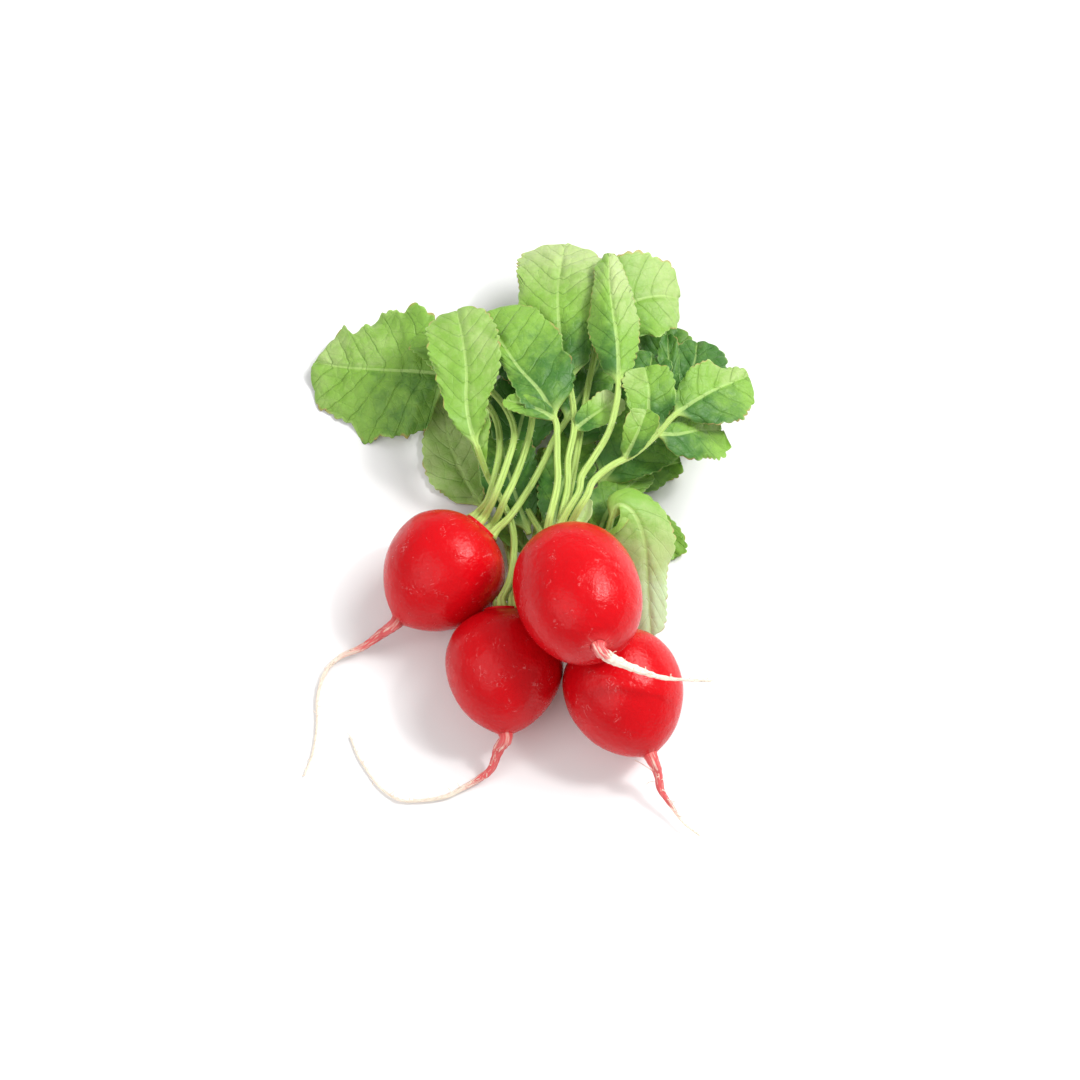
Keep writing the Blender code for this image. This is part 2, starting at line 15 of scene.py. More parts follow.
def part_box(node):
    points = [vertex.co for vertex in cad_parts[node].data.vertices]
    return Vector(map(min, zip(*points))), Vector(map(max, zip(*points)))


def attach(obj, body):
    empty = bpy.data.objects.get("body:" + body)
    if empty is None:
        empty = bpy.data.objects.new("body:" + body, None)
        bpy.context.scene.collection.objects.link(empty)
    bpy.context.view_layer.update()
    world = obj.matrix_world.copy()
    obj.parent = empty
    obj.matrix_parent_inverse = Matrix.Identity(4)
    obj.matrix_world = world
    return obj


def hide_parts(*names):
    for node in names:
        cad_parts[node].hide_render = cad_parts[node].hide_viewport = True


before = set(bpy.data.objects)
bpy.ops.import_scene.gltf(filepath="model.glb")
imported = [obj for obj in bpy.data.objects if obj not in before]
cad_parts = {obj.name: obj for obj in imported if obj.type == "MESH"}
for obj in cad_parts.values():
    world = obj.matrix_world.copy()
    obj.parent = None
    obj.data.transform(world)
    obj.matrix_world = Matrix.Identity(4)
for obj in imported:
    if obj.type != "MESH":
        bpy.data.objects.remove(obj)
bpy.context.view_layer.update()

bl_info = {
    "name": "Bunch of radishes",
    "version": (1, 0, 0),
    "blender": (4, 5, 0),
    "location": "View3D > Sidebar > Radishes",
    "description": "Builds the skin, leaves, bristles and rootlets of a bunch of radishes",
    "category": "Add Mesh",
}

MM = 0.001                 # metres in a millimetre

# Stage, in metres. A lamp: where it is and how wide; the stage's settings hold its power
FLOOR_REACH = 3.0
DARK_FLOOR, PALE_FLOOR = (0.83, 0.83, 0.83), (0.85, 0.85, 0.85)
LAMPS = {
    "key": ((0.55, 0.35, 0.75), 0.6),
    "glint": ((0.50, 0.10, 0.70), 0.10),
    "fill": ((-0.6, -0.45, 0.8), 1.0),
}
SENSOR = 36.0              # the camera's, in millimetres

# Roots
CROWN_RADIUS = 5.0         # flat face that the stalks leave from
WIDEST = 0.44              # widest ring, as a part of the way from crown to tail
TAIL_RADIUS = 1.85         # tail where it leaves the root
SHOULDER_CURVE = 2.3       # how full the shoulder is
HOLLOW = 2.6               # how sharply a root runs into its tail; more is sharper
NECK_FULLNESS = 1.08       # how much wider than the tail the hollow's narrow end is
TAIL_TIP = 0.25            # tail at its free end
ROOT_SIDES = 112           # points around a root
COARSE_SIDES = 24          # points around a root that is only measured
FACE_ROWS, GLOBE_ROWS, TAIL_ROWS = 9, 96, 170
NECK_ROWS, NECK_TURNS = 8, 14              # rows each side of the neck that are smoothed, and how often
WIDE_LUMP, SMALL_LUMP = (0.22, 9.0), (0.07, 3.2)    # height and size of lumps on the globe
KNOT_SIZE = 1.3
FURROW_DEPTH = 0.14        # as a part of the tail's radius

# Leaves
STALK_TOP = 0.85           # radius of a stalk where its blade starts
STALK_BASE = 1.0           # radius of a stalk at the crown
BLADE_HALF = 0.45          # half the thickness that a blade takes up when it is laid
RIB_TIP = 0.5              # half the thickness of the midrib at the tip
SEAT_GAP = 0.3             # clearance between a stalk and the crown
LAY_GAP = 0.6              # clearance between a leaf and what it lies on
FOOT_LENGTH = 2.0          # straight foot of a stalk, square to the crown
STALK_STEPS = 7
PER_SPAN = 12              # points of a smooth path between two way-points
FINE_SPAN = 30             # the same on a fine leaf
SMALLEST_HALF = 0.35       # least half width of a blade
TIP_CURVE = 2.2            # how blunt a laid blade's tip is
FINE_TIP_CURVE = 2.8       # how blunt a fine blade's tip is
STALK_FADE = 0.15          # part of a blade over which the stalk flattens into it
HALF_COLUMNS = 29          # columns of a fine blade on each side of its midrib
VEIN_SWEEP = 1.25          # how the rows of a fine blade, and its side veins, bend towards the tip
WIDE_WANDER, SMALL_WANDER = 9.5, 4.2       # lengths of the waves of a wandering outline
BLADE_STEPS = (0.0, 0.1, 0.22, 0.36, 0.5, 0.63, 0.75, 0.86, 0.94, 1.0)
LOBE_STEPS = (0.0, 0.2, 0.4, 0.6, 0.78, 0.92, 1.0)
ACROSS = (-1.0, -0.5, 0.0, 0.5, 1.0)

# Height map that the leaves are laid on
MAP_LOW = (-90.0, -100.0)
MAP_CELL = 0.5
MAP_SIZE = (380, 440)
SAMPLES = 18               # samples along each side of a laid cell
SPREAD_TURNS = 8           # how far a lifted row carries its neighbours up with it
CEILING = 100.0            # above everything
TABLE_GAP = 0.05           # nothing is lower than this above the table

ROOTS = {
    # seed: of its lumps. lean: curve of the globe's lower part. taper: how fast the tail thins. red: where
    # along the tail the red runs out. knots: how knobbly the tail is. hairs: how long its rootlets are at
    # three places. centre, axis towards the tail, half length, radius. tail: way-points of the tail.
    "root_left": {
        "seed": 2, "lean": (1.9, 0.62), "taper": 2.6, "red": (0.12, 0.55), "knots": 0.1,
        "hairs": (0.3, 0.35, 0.25),
        "centre": (-26.8, -10, 16.0), "axis": (-0.66, -0.72, -0.16), "half": 17.0, "radius": 16.2,
        "tail": [(-42, -24, 9), (-48, -27, 5), (-54, -29, 3), (-58, -33, 2), (-60, -40, 1.6),
                 (-60, -48, 1.3), (-61, -56, 1.2), (-63, -62, 1.1)],
    },
    "root_top": {
        "seed": 5, "lean": (2.5, 0.52), "taper": 1.5, "red": (0.02, 0.3), "knots": 0.3,
        "hairs": (0.9, 0.4, 0.3),
        "centre": (9.9, -24.4, 38.8), "axis": (0.24, -0.86, 0.45), "half": 20.5, "radius": 16.3,
        "tail": [(17, -44, 46), (21, -45, 43), (26, -46, 40), (31, -47, 38), (37, -47, 36), (44, -47, 35)],
    },
    "root_middle": {
        "seed": 8, "lean": (1.9, 0.6), "taper": 2.8, "red": (0.22, 0.45), "knots": 0.12,
        "hairs": (0.35, 0.4, 0.3),
        "centre": (-9.5, -37.5, 15.8), "axis": (0.02, -0.98, -0.16), "half": 16.8, "radius": 15.7,
        "tail": [(-11, -57, 9), (-13, -61, 5), (-17, -64, 3.5), (-21, -66, 2.7),
                 (-25, -68, 2.3), (-31, -69, 2), (-37, -69, 1.8), (-42, -66, 1.7), (-46, -61, 1.6),
                 (-49, -56, 1.5), (-51, -51, 1.5)],
    },
    "root_right": {
        "seed": 11, "lean": (2.0, 0.6), "taper": 1.5, "red": (0.45, 0.95), "knots": 0.16,
        "hairs": (2.4, 0.8, 0.4),
        "centre": (22.5, -44.0, 15.9), "axis": (0.36, -0.92, -0.08), "half": 17.5, "radius": 15.7,
        "tail": [(31, -64, 10), (32, -68, 7), (35, -72, 5), (38, -76, 4), (42, -79, 3)],
    },
}

# One leaf a row, lowest first. seat: place on the crown, to the right of its middle and above it.
# stalk and blade: way-points of the midrib. left and right: half widths along the blade, seen from
# the crown. cup: how far the margins rise, as a part of the half width. lobes: side lobes, each with
# its own rib, half widths and cup.
LEAVES = {
    "leaf_middle_low": {
        "root": "root_middle", "seat": (-1.4, -2.2),
        "stalk": [(-8, -14, 12), (-8, -4, 7), (-10, 5, 5), (-14, 11, 3)],
        "blade": [(-16, 15, 2), (-20, 22, 1), (-24, 31, 1), (-26, 39, 1), (-27, 49, 2)],
        "left": (3, 7, 9, 8, 6), "right": (2, 6, 9, 8, 6), "cup": (0.05, 0.1),
    },
    "leaf_right_low": {
        "root": "root_right", "seat": (1.7, -2.8),
        "stalk": [(17, -18, 8), (17, -6, 5), (18, 4, 3)],
        "blade": [(20, 12, 2), (25, 13, 2), (30, 11, 1), (35, 6, 1), (37, 0, 1)],
        "left": (2, 4, 5, 5, 4), "right": (2, 5, 7, 7, 5), "cup": (0.1, 0.1),
    },
    "leaf_right_side": {
        "root": "root_right", "seat": (-1.1, -2.4),
        "stalk": [(15, -18, 10), (14, -4, 7), (15, 8, 6), (17, 17, 5)],
        "blade": [(20, 23, 4), (25, 26, 3), (30, 27, 2), (35, 28, 1), (39, 29, 1)],
        "left": (3, 6, 7, 6, 4), "right": (2, 5, 6, 6, 4), "cup": (0.1, 0.05),
    },
    "leaf_middle_inner": {
        "root": "root_middle", "seat": (2.4, -0.8),
        "stalk": [(-5, -12, 13), (-3, -4, 9), (-2, 1, 8)],
        "blade": [(-1, 6, 8), (0, 13, 8), (2, 21, 8), (4, 30, 8)],
        "left": (2, 3, 4, 5, 4), "right": (2, 4, 6, 7, 5), "cup": (0.2, 0.2),
        "lobes": [{"rib": [(-2.5, -1.5, 9), (-6, 2, 8), (-9, 6, 7), (-12, 10, 5)],
                   "left": (1, 2.5, 3), "right": (1, 2.5, 3), "cup": (0.1, 0.1)}],
    },
    "leaf_middle_back": {
        "root": "root_middle", "seat": (2.6, 1.9),
        "stalk": [(-6, -13, 16), (-2, -2, 12), (2, 8, 9), (6, 18, 7), (9, 26, 5)],
        "blade": [(11, 32, 4), (13, 39, 3), (16, 47, 2), (18, 56, 1)],
        "left": (3, 6, 9, 9, 7), "right": (3, 7, 10, 10, 7), "cup": (0.1, 0.1),
    },
    "leaf_right_inner": {
        "root": "root_right", "seat": (-3.3, -0.4),
        "stalk": [(11, -17, 13), (4, -4, 12), (-1, 4, 13), (-4, 10, 12)],
        "blade": [(-7, 15, 11), (-10, 24, 10), (-12, 33, 9), (-13, 43, 8), (-13, 51, 7)],
        "left": (2, 4, 6, 7, 6), "right": (2, 6, 9, 9, 7), "cup": (0.1, 0.1),
    },
    "leaf_right_back": {
        "root": "root_right", "seat": (-0.3, 0.9),
        "stalk": [(15, -17, 13), (13, -3, 12), (14, 7, 12), (17, 17, 12), (23, 24, 12)],
        "blade": [(29, 29, 12), (36, 39, 12), (40, 48, 11), (43, 56, 9), (44, 64, 5)],
        "left": (3, 6, 8, 7, 5), "right": (3, 7, 10, 10, 8), "cup": (0.15, 0.0),
        "lobes": [{"rib": [(27, 27, 13), (27, 33, 16), (28, 40, 18), (30, 48, 19), (31, 55, 17)],
                   "left": (1.5, 5, 6), "right": (1.5, 5, 6), "cup": (0.1, 0.1)},
                  {"rib": [(33, 33, 14), (35, 41, 17), (36, 49, 19), (36, 60, 18)],
                   "left": (1.5, 2, 2.5), "right": (1.5, 3, 3), "cup": (0.2, 0.2)}],
    },
    "leaf_left_near": {
        "root": "root_left", "seat": (3.5, 0.4),
        "stalk": [(-8, 5, 20), (-3, 13, 20), (1, 21, 20), (4, 28, 20)],
        "blade": [(7, 33, 20), (11, 41, 19), (15, 49, 17), (18, 57, 14)],
        "left": (3, 6, 8, 8, 6), "right": (3, 6, 7, 7, 6), "cup": (0.1, 0.1),
    },
    "leaf_left_inner": {
        "root": "root_left", "seat": (1.2, -1.4),
        "stalk": [(-10, 7, 20), (-6, 17, 21), (-3, 28, 21), (-2, 36, 20)],
        "blade": [(-2, 42, 19), (-4, 50, 17), (-6, 59, 14), (-8, 67, 11)],
        "left": (3, 6, 8, 8, 6), "right": (3, 7, 10, 11, 8), "cup": (0.1, 0.1),
    },
    "leaf_left_far": {
        "root": "root_left", "seat": (-3.6, 0.0),
        "stalk": [(-14, 9, 22), (-12, 17, 22), (-11, 25, 21), (-12, 34, 18), (-16, 42, 15)],
        "blade": [(-23, 49, 13), (-34, 52, 11), (-44, 54, 8), (-54, 56, 5), (-64, 59, 2)],
        "left": (4, 14, 17, 17, 12), "right": (5, 13, 17, 15, 11), "cup": (-0.35, 0.1),
    },
    "leaf_left_mid": {
        "root": "root_left", "seat": (-1.2, 1.4),
        "stalk": [(-12, 9, 24), (-9, 18, 24), (-7, 27, 24), (-9, 35, 22), (-13, 42, 19)],
        "blade": [(-18, 48, 17), (-23, 54, 15), (-28, 59, 12), (-33, 63, 9)],
        "left": (3, 6, 7, 7, 6), "right": (3, 6, 8, 8, 7), "cup": (0.1, 0.1),
    },
    "leaf_right_pale": {
        "root": "root_right", "seat": (3.3, 0.2),
        "stalk": [(20, -20, 13), (19, -8, 13), (18, -2, 17)],
        "blade": [(19, 3, 22), (21, 6, 25), (25, 4, 24), (28, -3, 20), (29, -13, 13), (30, -24, 4)],
        "left": (3, 6, 7, 5, 4), "right": (3, 7, 9, 8, 6), "cup": (-0.3, -0.3),
    },
    "leaf_top_scrap": {
        "root": "root_top", "seat": (3.5, -1.8),
        "stalk": [],
        "blade": [(10, 0, 26), (12, 3, 26), (13, 7, 27)],
        "left": (1.2, 1.6, 1.8, 1.6, 1.3), "right": (1.2, 1.6, 1.8, 1.6, 1.3), "cup": (0.2, 0.2),
    },
    "leaf_top_back": {
        "root": "root_top", "seat": (0.2, -3.2),
        "stalk": [(8, 10, 25), (10, 22, 24), (12, 36, 22), (14, 48, 20)],
        "blade": [(17, 60, 19), (22, 67, 19), (28, 71, 18), (34, 73, 16), (39, 74, 12)],
        "left": (4, 9, 12, 11, 9), "right": (3, 7, 10, 10, 8), "cup": (0.1, 0.1),
    },
    "leaf_top_large": {
        "root": "root_top", "seat": (-0.4, -0.8),
        "stalk": [(7.2, 8, 27), (7.4, 17, 27), (9, 26, 27), (9, 33, 26)],
        "blade": [(8, 41, 25), (6, 51, 24), (5, 62, 23), (5, 74, 20), (7, 90, 14)],
        "left": (3, 7, 9, 11, 11), "right": (3, 7, 9, 11, 11), "cup": (-0.1, -0.1),
        "lobes": [{"rib": [(9, 26, 27), (13, 29, 28), (17, 32, 28), (21, 36, 27)],
                   "left": (1.5, 3.5, 4), "right": (1.5, 3.5, 4), "cup": (0.2, 0.2)}],
    },
    "leaf_top_ridge": {
        "root": "root_top", "seat": (0.6, 3.0),
        "stalk": [(10, 6, 30), (11, 11, 31), (14, 16, 32), (18, 23, 33), (20, 30, 33)],
        "blade": [(21, 37, 33), (21, 49, 32), (20, 59, 31), (19, 70, 29), (19, 82, 25)],
        "left": (2, 5, 7, 6, 4), "right": (2, 4, 6, 6, 5), "cup": (-0.3, -0.5),
    },
    "leaf_top_side": {
        "root": "root_top", "seat": (2.9, 1.4),
        "stalk": [(12, 4, 30), (14, 9, 30), (19, 14, 30), (25, 18, 30), (31, 24, 30)],
        "blade": [(36, 30, 30), (42, 35, 29), (49, 40, 27), (57, 45, 23)],
        "left": (2, 5, 8, 7, 5), "right": (2, 5, 8, 9, 7), "cup": (0.15, -0.1),
        "lobes": [{"rib": [(31, 24, 30), (37, 25, 28), (43, 28, 24), (49, 30, 19)],
                   "left": (1.5, 5, 6), "right": (1.5, 6, 7), "cup": (-0.1, -0.2)},
                  {"rib": [(31, 24, 30), (29, 30, 32), (29, 36, 33), (28, 43, 32)],
                   "left": (1.5, 5, 6), "right": (1.5, 5, 6), "cup": (0.1, 0.1)},
                  {"rib": [(22, 16, 30), (24, 19, 33), (26, 23, 35), (28, 28, 36)],
                   "left": (1, 3, 4), "right": (1, 3, 4), "cup": (0.5, 0.4)}],
    },
    "leaf_top_front": {
        "root": "root_top", "seat": (-2.9, 0.8),
        "stalk": [(4.5, 9, 28), (4.5, 17, 29), (4.5, 23, 30)],
        "blade": [(4, 28, 31), (0, 36, 32), (-6, 44, 31), (-11, 53, 29), (-17, 63, 25)],
        "left": (3, 5, 4, 3, 3), "right": (3, 10, 14, 16, 15), "cup": (0.1, -0.1),
        "lobes": [{"rib": [(3.5, 28, 31), (0, 30, 32), (-5, 32, 32), (-10, 34, 31)],
                   "left": (1, 2.5, 2.5), "right": (1, 3, 3), "cup": (0.2, 0.2)}],
    },
    "leaf_middle_pale": {
        "root": "root_middle", "seat": (-0.4, 1.8),
        "stalk": [(-8, -13, 18), (-7, -3, 17), (-8, 5, 16), (-11, 12, 16), (-14, 17, 18)],
        "blade": [(-17, 22, 22), (-19, 28, 26), (-20, 35, 28), (-20, 43, 29), (-21, 52, 28), (-23, 64, 24)],
        "left": (1.5, 4, 7, 9, 9), "right": (1.5, 4, 7, 9, 9), "cup": (0.1, 0.1),
        "lobes": [{"rib": [(-14.5, 19, 23), (-16, 24, 27), (-16, 29, 29), (-16, 34, 30)],
                   "left": (1, 2, 2), "right": (1, 2.5, 3), "cup": (0.1, 0.1)}],
    },
}

# One leaf's stalk goes under the stalks of the left root, and its blade over them.
UNDER = "leaf_middle_pale"
BEFORE_UNDER = "leaf_left_near"
UNDER_ROWS = 8

# Small leaves that fill the middle of the bunch. Each lies on the leaf it names and those before it, and
# stays below the rest.
SMALL_LEAVES = {
    "behind": {"after": "leaf_right_back", "rib": [(9, 26, 9), (12, 40, 12), (16, 54, 12), (19, 68, 9)],
               "left": (3, 9, 12, 12), "right": (3, 9, 12, 11), "cup": (0.1, 0.0)},
    "right": {"after": "leaf_right_back", "rib": [(16, 16, 7), (25, 26, 9), (33, 34, 8), (41, 40, 4)],
              "left": (2, 7, 10, 10), "right": (2, 7, 10, 9), "cup": (0.0, 0.1)},
    "corner": {"after": "leaf_right_side", "rib": [(24, 34, 8), (30, 47, 9), (34, 59, 8), (36, 71, 5)],
               "left": (3, 8, 9, 8), "right": (3, 8, 10, 9), "cup": (0.1, 0.0)},
    "centre": {"after": "leaf_right_back", "rib": [(3, 0, 8), (5, 11, 11), (8, 22, 12), (11, 34, 11)],
               "left": (2, 5, 7, 7), "right": (2, 6, 8, 7), "cup": (0.1, 0.1)},
    "left": {"after": "leaf_right_back", "rib": [(-3, 2, 8), (-7, 14, 10), (-10, 26, 11), (-12, 40, 9)],
             "left": (2, 6, 8, 8), "right": (2, 6, 8, 8), "cup": (0.1, 0.1)},
    "shade": {"after": "leaf_right_back", "rib": [(-8, 24, 10), (-5, 36, 13), (-2, 48, 13), (1, 60, 10)],
              "left": (3, 8, 10, 9), "right": (3, 8, 10, 9), "cup": (0.0, 0.0)},
    "side": {"after": "leaf_right_back", "rib": [(15, 0, 8), (19, 9, 12), (24, 16, 12), (30, 22, 9)],
             "left": (2, 5, 6, 5), "right": (2, 4, 5, 4), "cup": (0.2, 0.1)},
}

# tone: from dark to pale, at the foot of the blade and at its tip. The low tones are partly the leaf's own
# dark green and partly painted shade on blades that lie deep in the bunch. turn: how much paler the right
# half is than the left, which is painted light: the half that faces the light more is painted paler.
# relief: how crinkled. ragged: how far the outline wanders, in mm. fuller: how much wider the left and
# right halves are than in the construction model.
LOOK_KEYS = ("foot_tone", "tip_tone", "turn", "relief", "ragged", "fuller_left", "fuller_right")
LOOKS = {
    "leaf_left_far": (0.30, 0.62, 0.10, 1.6, 5.0, 1.05, 1.1),
    "leaf_left_mid": (0.30, 0.45, 0.0, 1.2, 1.8, 1.1, 1.15),
    "leaf_left_inner": (0.0, 0.15, 0.0, 1.0, 1.0, 1.0, 1.0),
    "leaf_left_near": (0.05, 0.25, 0.0, 1.0, 1.0, 1.0, 1.0),
    "leaf_middle_low": (0.68, 0.85, 0.0, 0.9, 0.9, 1.0, 1.05),
    "leaf_middle_back": (0.05, 0.25, 0.0, 1.0, 1.0, 1.0, 1.0),
    "leaf_middle_inner": (0.30, 0.45, 0.0, 1.0, 0.8, 1.2, 1.1),
    "leaf_middle_pale": (0.40, 0.66, 0.06, 0.8, 0.9, 1.05, 1.05),
    "leaf_right_low": (0.45, 0.50, 0.0, 1.0, 1.0, 1.0, 1.0),
    "leaf_right_side": (0.10, 0.35, 0.0, 1.0, 1.2, 1.1, 1.2),
    "leaf_right_inner": (0.05, 0.25, 0.0, 1.0, 1.0, 1.0, 1.0),
    "leaf_right_back": (-0.1, 0.10, 0.0, 1.2, 1.0, 1.15, 1.1),
    "leaf_right_pale": (0.45, 1.65, 0.0, 0.35, 0.7, 1.2, 1.35),
    "leaf_top_back": (0.25, 0.78, -0.05, 0.9, 1.3, 1.15, 1.35),
    "leaf_top_large": (0.0, 0.98, 0.0, 1.1, 1.2, 1.05, 1.15),
    "leaf_top_ridge": (0.20, 0.86, 0.18, 1.1, 1.0, 1.05, 1.1),
    "leaf_top_side": (0.06, 0.62, -0.14, 1.2, 1.4, 1.1, 1.2),
    "leaf_top_front": (0.05, 0.48, 0.0, 1.1, 1.2, 1.15, 1.0),
    "leaf_top_scrap": (0.9, 1.1, 0.0, 0.4, 0.3, 1.0, 1.0),
    # the small leaves lie deep in the bunch, and their low tones are partly painted shade
    "behind": (0.0, 0.25, 0.0, 1.0, 1.0, 1.0, 1.0),
    "right": (0.10, 0.38, 0.0, 1.2, 1.4, 1.1, 1.1),
    "corner": (-0.1, 0.15, 0.0, 1.0, 1.2, 1.0, 1.0),
    "centre": (0.05, 0.30, 0.0, 1.0, 1.0, 1.0, 1.0),
    "left": (0.0, 0.20, 0.0, 1.0, 1.0, 1.0, 1.0),
    "shade": (-0.1, 0.10, 0.0, 1.0, 1.0, 1.0, 1.0),
    "side": (0.20, 0.42, 0.0, 1.0, 0.8, 1.0, 1.0),
}


# ---------------------------------------------------------------- settings

def colour_setting(name, description, default):
    return FloatVectorProperty(name=name, description=description, default=default, subtype="COLOR",
                               size=3, min=0.0, max=1.0)


class BunchSettings(bpy.types.PropertyGroup):
    """Sizes and colours of the bunch that a user would change."""
    blade_thickness: FloatProperty(name="Blade thickness", description="Thickness of a leaf blade, in mm",
                                   default=0.42, min=0.1, max=1.0)
    tooth_depth: FloatProperty(name="Tooth depth",
                               description="Depth of the notches in a leaf's margin, in mm",
                               default=0.75, min=0.0, max=3.0)
    tooth_spacing: FloatProperty(name="Tooth spacing", description="Distance between teeth, in mm",
                                 default=2.3, min=0.5, max=10.0)
    vein_spacing: FloatProperty(name="Vein spacing", description="Distance between side veins, in mm",
                                default=5.2, min=2.0, max=12.0)
    pucker: FloatProperty(name="Pucker", description="How far a blade bulges up between its veins, in mm",
                          default=0.22, min=0.0, max=2.0)
    ruffle: FloatProperty(name="Ruffle", description="How far a leaf's margin waves up and down, in mm",
                          default=1.5, min=0.0, max=3.0)
    grain: FloatProperty(name="Mesh spacing", description="Spacing of a leaf's mesh along its blade, in mm",
                         default=0.36, min=0.2, max=2.0)
    bristle_length: FloatProperty(name="Bristle length", description="Length of the bristles on a stalk",
                                  default=0.0006, min=0.0, max=0.003, unit="LENGTH")
    bristle_density: FloatProperty(name="Bristle density", description="Bristles on a square metre of stalk",
                                   default=260000.0, min=0.0, max=2000000.0)
    rootlet_length: FloatProperty(name="Rootlet length", description="Length of the fine hairs on a tail",
                                  default=0.0042, min=0.0, max=0.02, unit="LENGTH")
    rootlet_spacing: FloatProperty(name="Rootlet spacing",
                                   description="Distance between rootlets along a tail",
                                   default=0.0011, min=0.0003, max=0.02, unit="LENGTH")
    seed: IntProperty(name="Seed", description="Seed of everything scattered", default=7, min=0)
    skin: colour_setting("Skin", "Red of the skin in the light", (0.62, 0.003, 0.007))
    skin_deep: colour_setting("Deep skin", "Darker red of the skin", (0.38, 0.0015, 0.004))
    scuff: colour_setting("Scuffs", "Pink of scuffs and streaks", (0.83, 0.22, 0.22))
    tail: colour_setting("Tail", "Cream of a tail's thin end", (0.93, 0.82, 0.68))
    # leaf_deep is also the painted shade of blades that lie deep in the bunch, through their low tones
    leaf_deep: colour_setting("Deep leaf", "Darkest green of the blades", (0.042, 0.145, 0.018))
    leaf: colour_setting("Leaf", "Green of most leaves", (0.195, 0.375, 0.048))
    leaf_pale: colour_setting("Pale leaf", "Pale green of young blades", (0.385, 0.495, 0.190))
    mint: colour_setting("Underside", "Mint green of undersides", (0.50, 0.64, 0.37))
    vein: colour_setting("Vein", "Yellow-green of veins", (0.42, 0.60, 0.19))
    stalk: colour_setting("Stalk", "Yellow-green of the stalks", (0.40, 0.56, 0.13))
    stalk_blush: colour_setting("Stalk blush", "Brownish pink at the foot of a stalk", (0.42, 0.16, 0.07))


class StageSettings(bpy.types.PropertyGroup):
    """Camera, floor and lights."""
    elevation: FloatProperty(name="Elevation", description="Camera's angle above the table", subtype="ANGLE",
                             default=math.radians(68))
    distance: FloatProperty(name="Distance", description="From the camera to what it is aimed at",
                            default=0.81, min=0.1, unit="LENGTH")
    aim: FloatVectorProperty(name="Aim", description="Point that the camera is aimed at", subtype="XYZ",
                             size=3, default=(0.0029, -0.0054, 0.015), unit="LENGTH")
    lens: FloatProperty(name="Lens", description="Focal length in mm on a 36 mm sensor", default=100.0)
    key: FloatProperty(name="Key light", description="Power of the main soft light", default=9.6,
                       unit="POWER")
    fill: FloatProperty(name="Fill light", description="Power of the second soft light", default=6.0,
                        unit="POWER")
    glint: FloatProperty(name="Glint", description="Power of the small light that gives the highlights",
                         default=2.4, unit="POWER")
    sky: FloatProperty(name="Sky", description="Strength of the even white light", default=0.50)


# ---------------------------------------------------------------- paths

def unit(vector):
    vector = np.asarray(vector, float)
    return vector / np.linalg.norm(vector)


def smooth_path(points, per_span=PER_SPAN):
    """Points of a smooth curve through the way-points, and the distance of each along the curve."""
    points = np.asarray(points, float)
    padded = np.vstack([2 * points[0] - points[1], points, 2 * points[-1] - points[-2]])
    curve = []
    for a, b, c, d in zip(padded, padded[1:], padded[2:], padded[3:]):
        for step in range(per_span):
            t = step / per_span
            curve.append(0.5 * (2 * b + (c - a) * t + (2 * a - 5 * b + 4 * c - d) * t ** 2
                                + (3 * b - a - 3 * c + d) * t ** 3))
    curve.append(points[-1])
    curve = np.array(curve)
    steps = np.linalg.norm(np.diff(curve, axis=0), axis=1)
    return curve, np.concatenate([[0.0], np.cumsum(steps)])


def at_distances(curve, along, wanted):
    wanted = np.asarray(wanted, float)
    return np.stack([np.interp(wanted, along, curve[:, axis]) for axis in range(3)], axis=-1)


def ease(value):
    """Smooth step from 0 to 1."""
    value = np.clip(value, 0.0, 1.0)
    return value * value * (3 - 2 * value)


def eased_curve(known, values, wanted):
    """Values at wanted places, on a smooth curve through known ones. values may have further axes."""
    known, values, wanted = np.asarray(known, float), np.asarray(values, float), np.asarray(wanted, float)
    slopes = np.gradient(values, known, axis=0)
    wanted = np.clip(wanted, known[0], known[-1])
    low = np.clip(np.searchsorted(known, wanted, side="right") - 1, 0, len(known) - 2)
    span = known[low + 1] - known[low]
    t = (wanted - known[low]) / span
    extra = (None,) * (values.ndim - 1)
    t, span = t[(...,) + extra], span[(...,) + extra]
    return ((2 * t ** 3 - 3 * t ** 2 + 1) * values[low] + (t ** 3 - 2 * t ** 2 + t) * span * slopes[low]
            + (3 * t ** 2 - 2 * t ** 3) * values[low + 1] + (t ** 3 - t ** 2) * span * slopes[low + 1])


# ---------------------------------------------------------------- laying the leaves

def crown_seat(root, sideways, upwards):
    """Foot of a stalk just off the crown, and the way that it leaves."""
    outward = -unit(root["axis"])
    side = unit(np.cross(outward, (0.0, 0.0, 1.0)))
    up = np.cross(side, outward)
    face = np.array(root["centre"], float) + outward * (root["half"] + SEAT_GAP)
    return face + sideways * side + upwards * up, outward


def tip_start(widths):
    """How far along a blade its rounded tip starts."""
    return 0.8 if len(widths) == 5 else 0.7


def half_width(widths, t):
    """Half width of a blade at t along it, rounded off at the tip."""
    reach = tip_start(widths)
    width = np.interp(t, np.linspace(0, reach, len(widths)), widths)
    if t > reach:
        width *= math.sqrt(max(0.0, 1 - ((t - reach) / (1 - reach)) ** TIP_CURVE))
    return max(width, SMALLEST_HALF)


def sheet_frame(spine):
    """Sideways and upward directions at each station of a midrib."""
    tangents = np.gradient(spine, axis=0)
    tangents /= np.linalg.norm(tangents, axis=1)[:, None]
    sides = np.cross(tangents, (0.0, 0.0, 1.0))
    sides /= np.linalg.norm(sides, axis=1)[:, None]
    return sides, np.cross(sides, tangents)


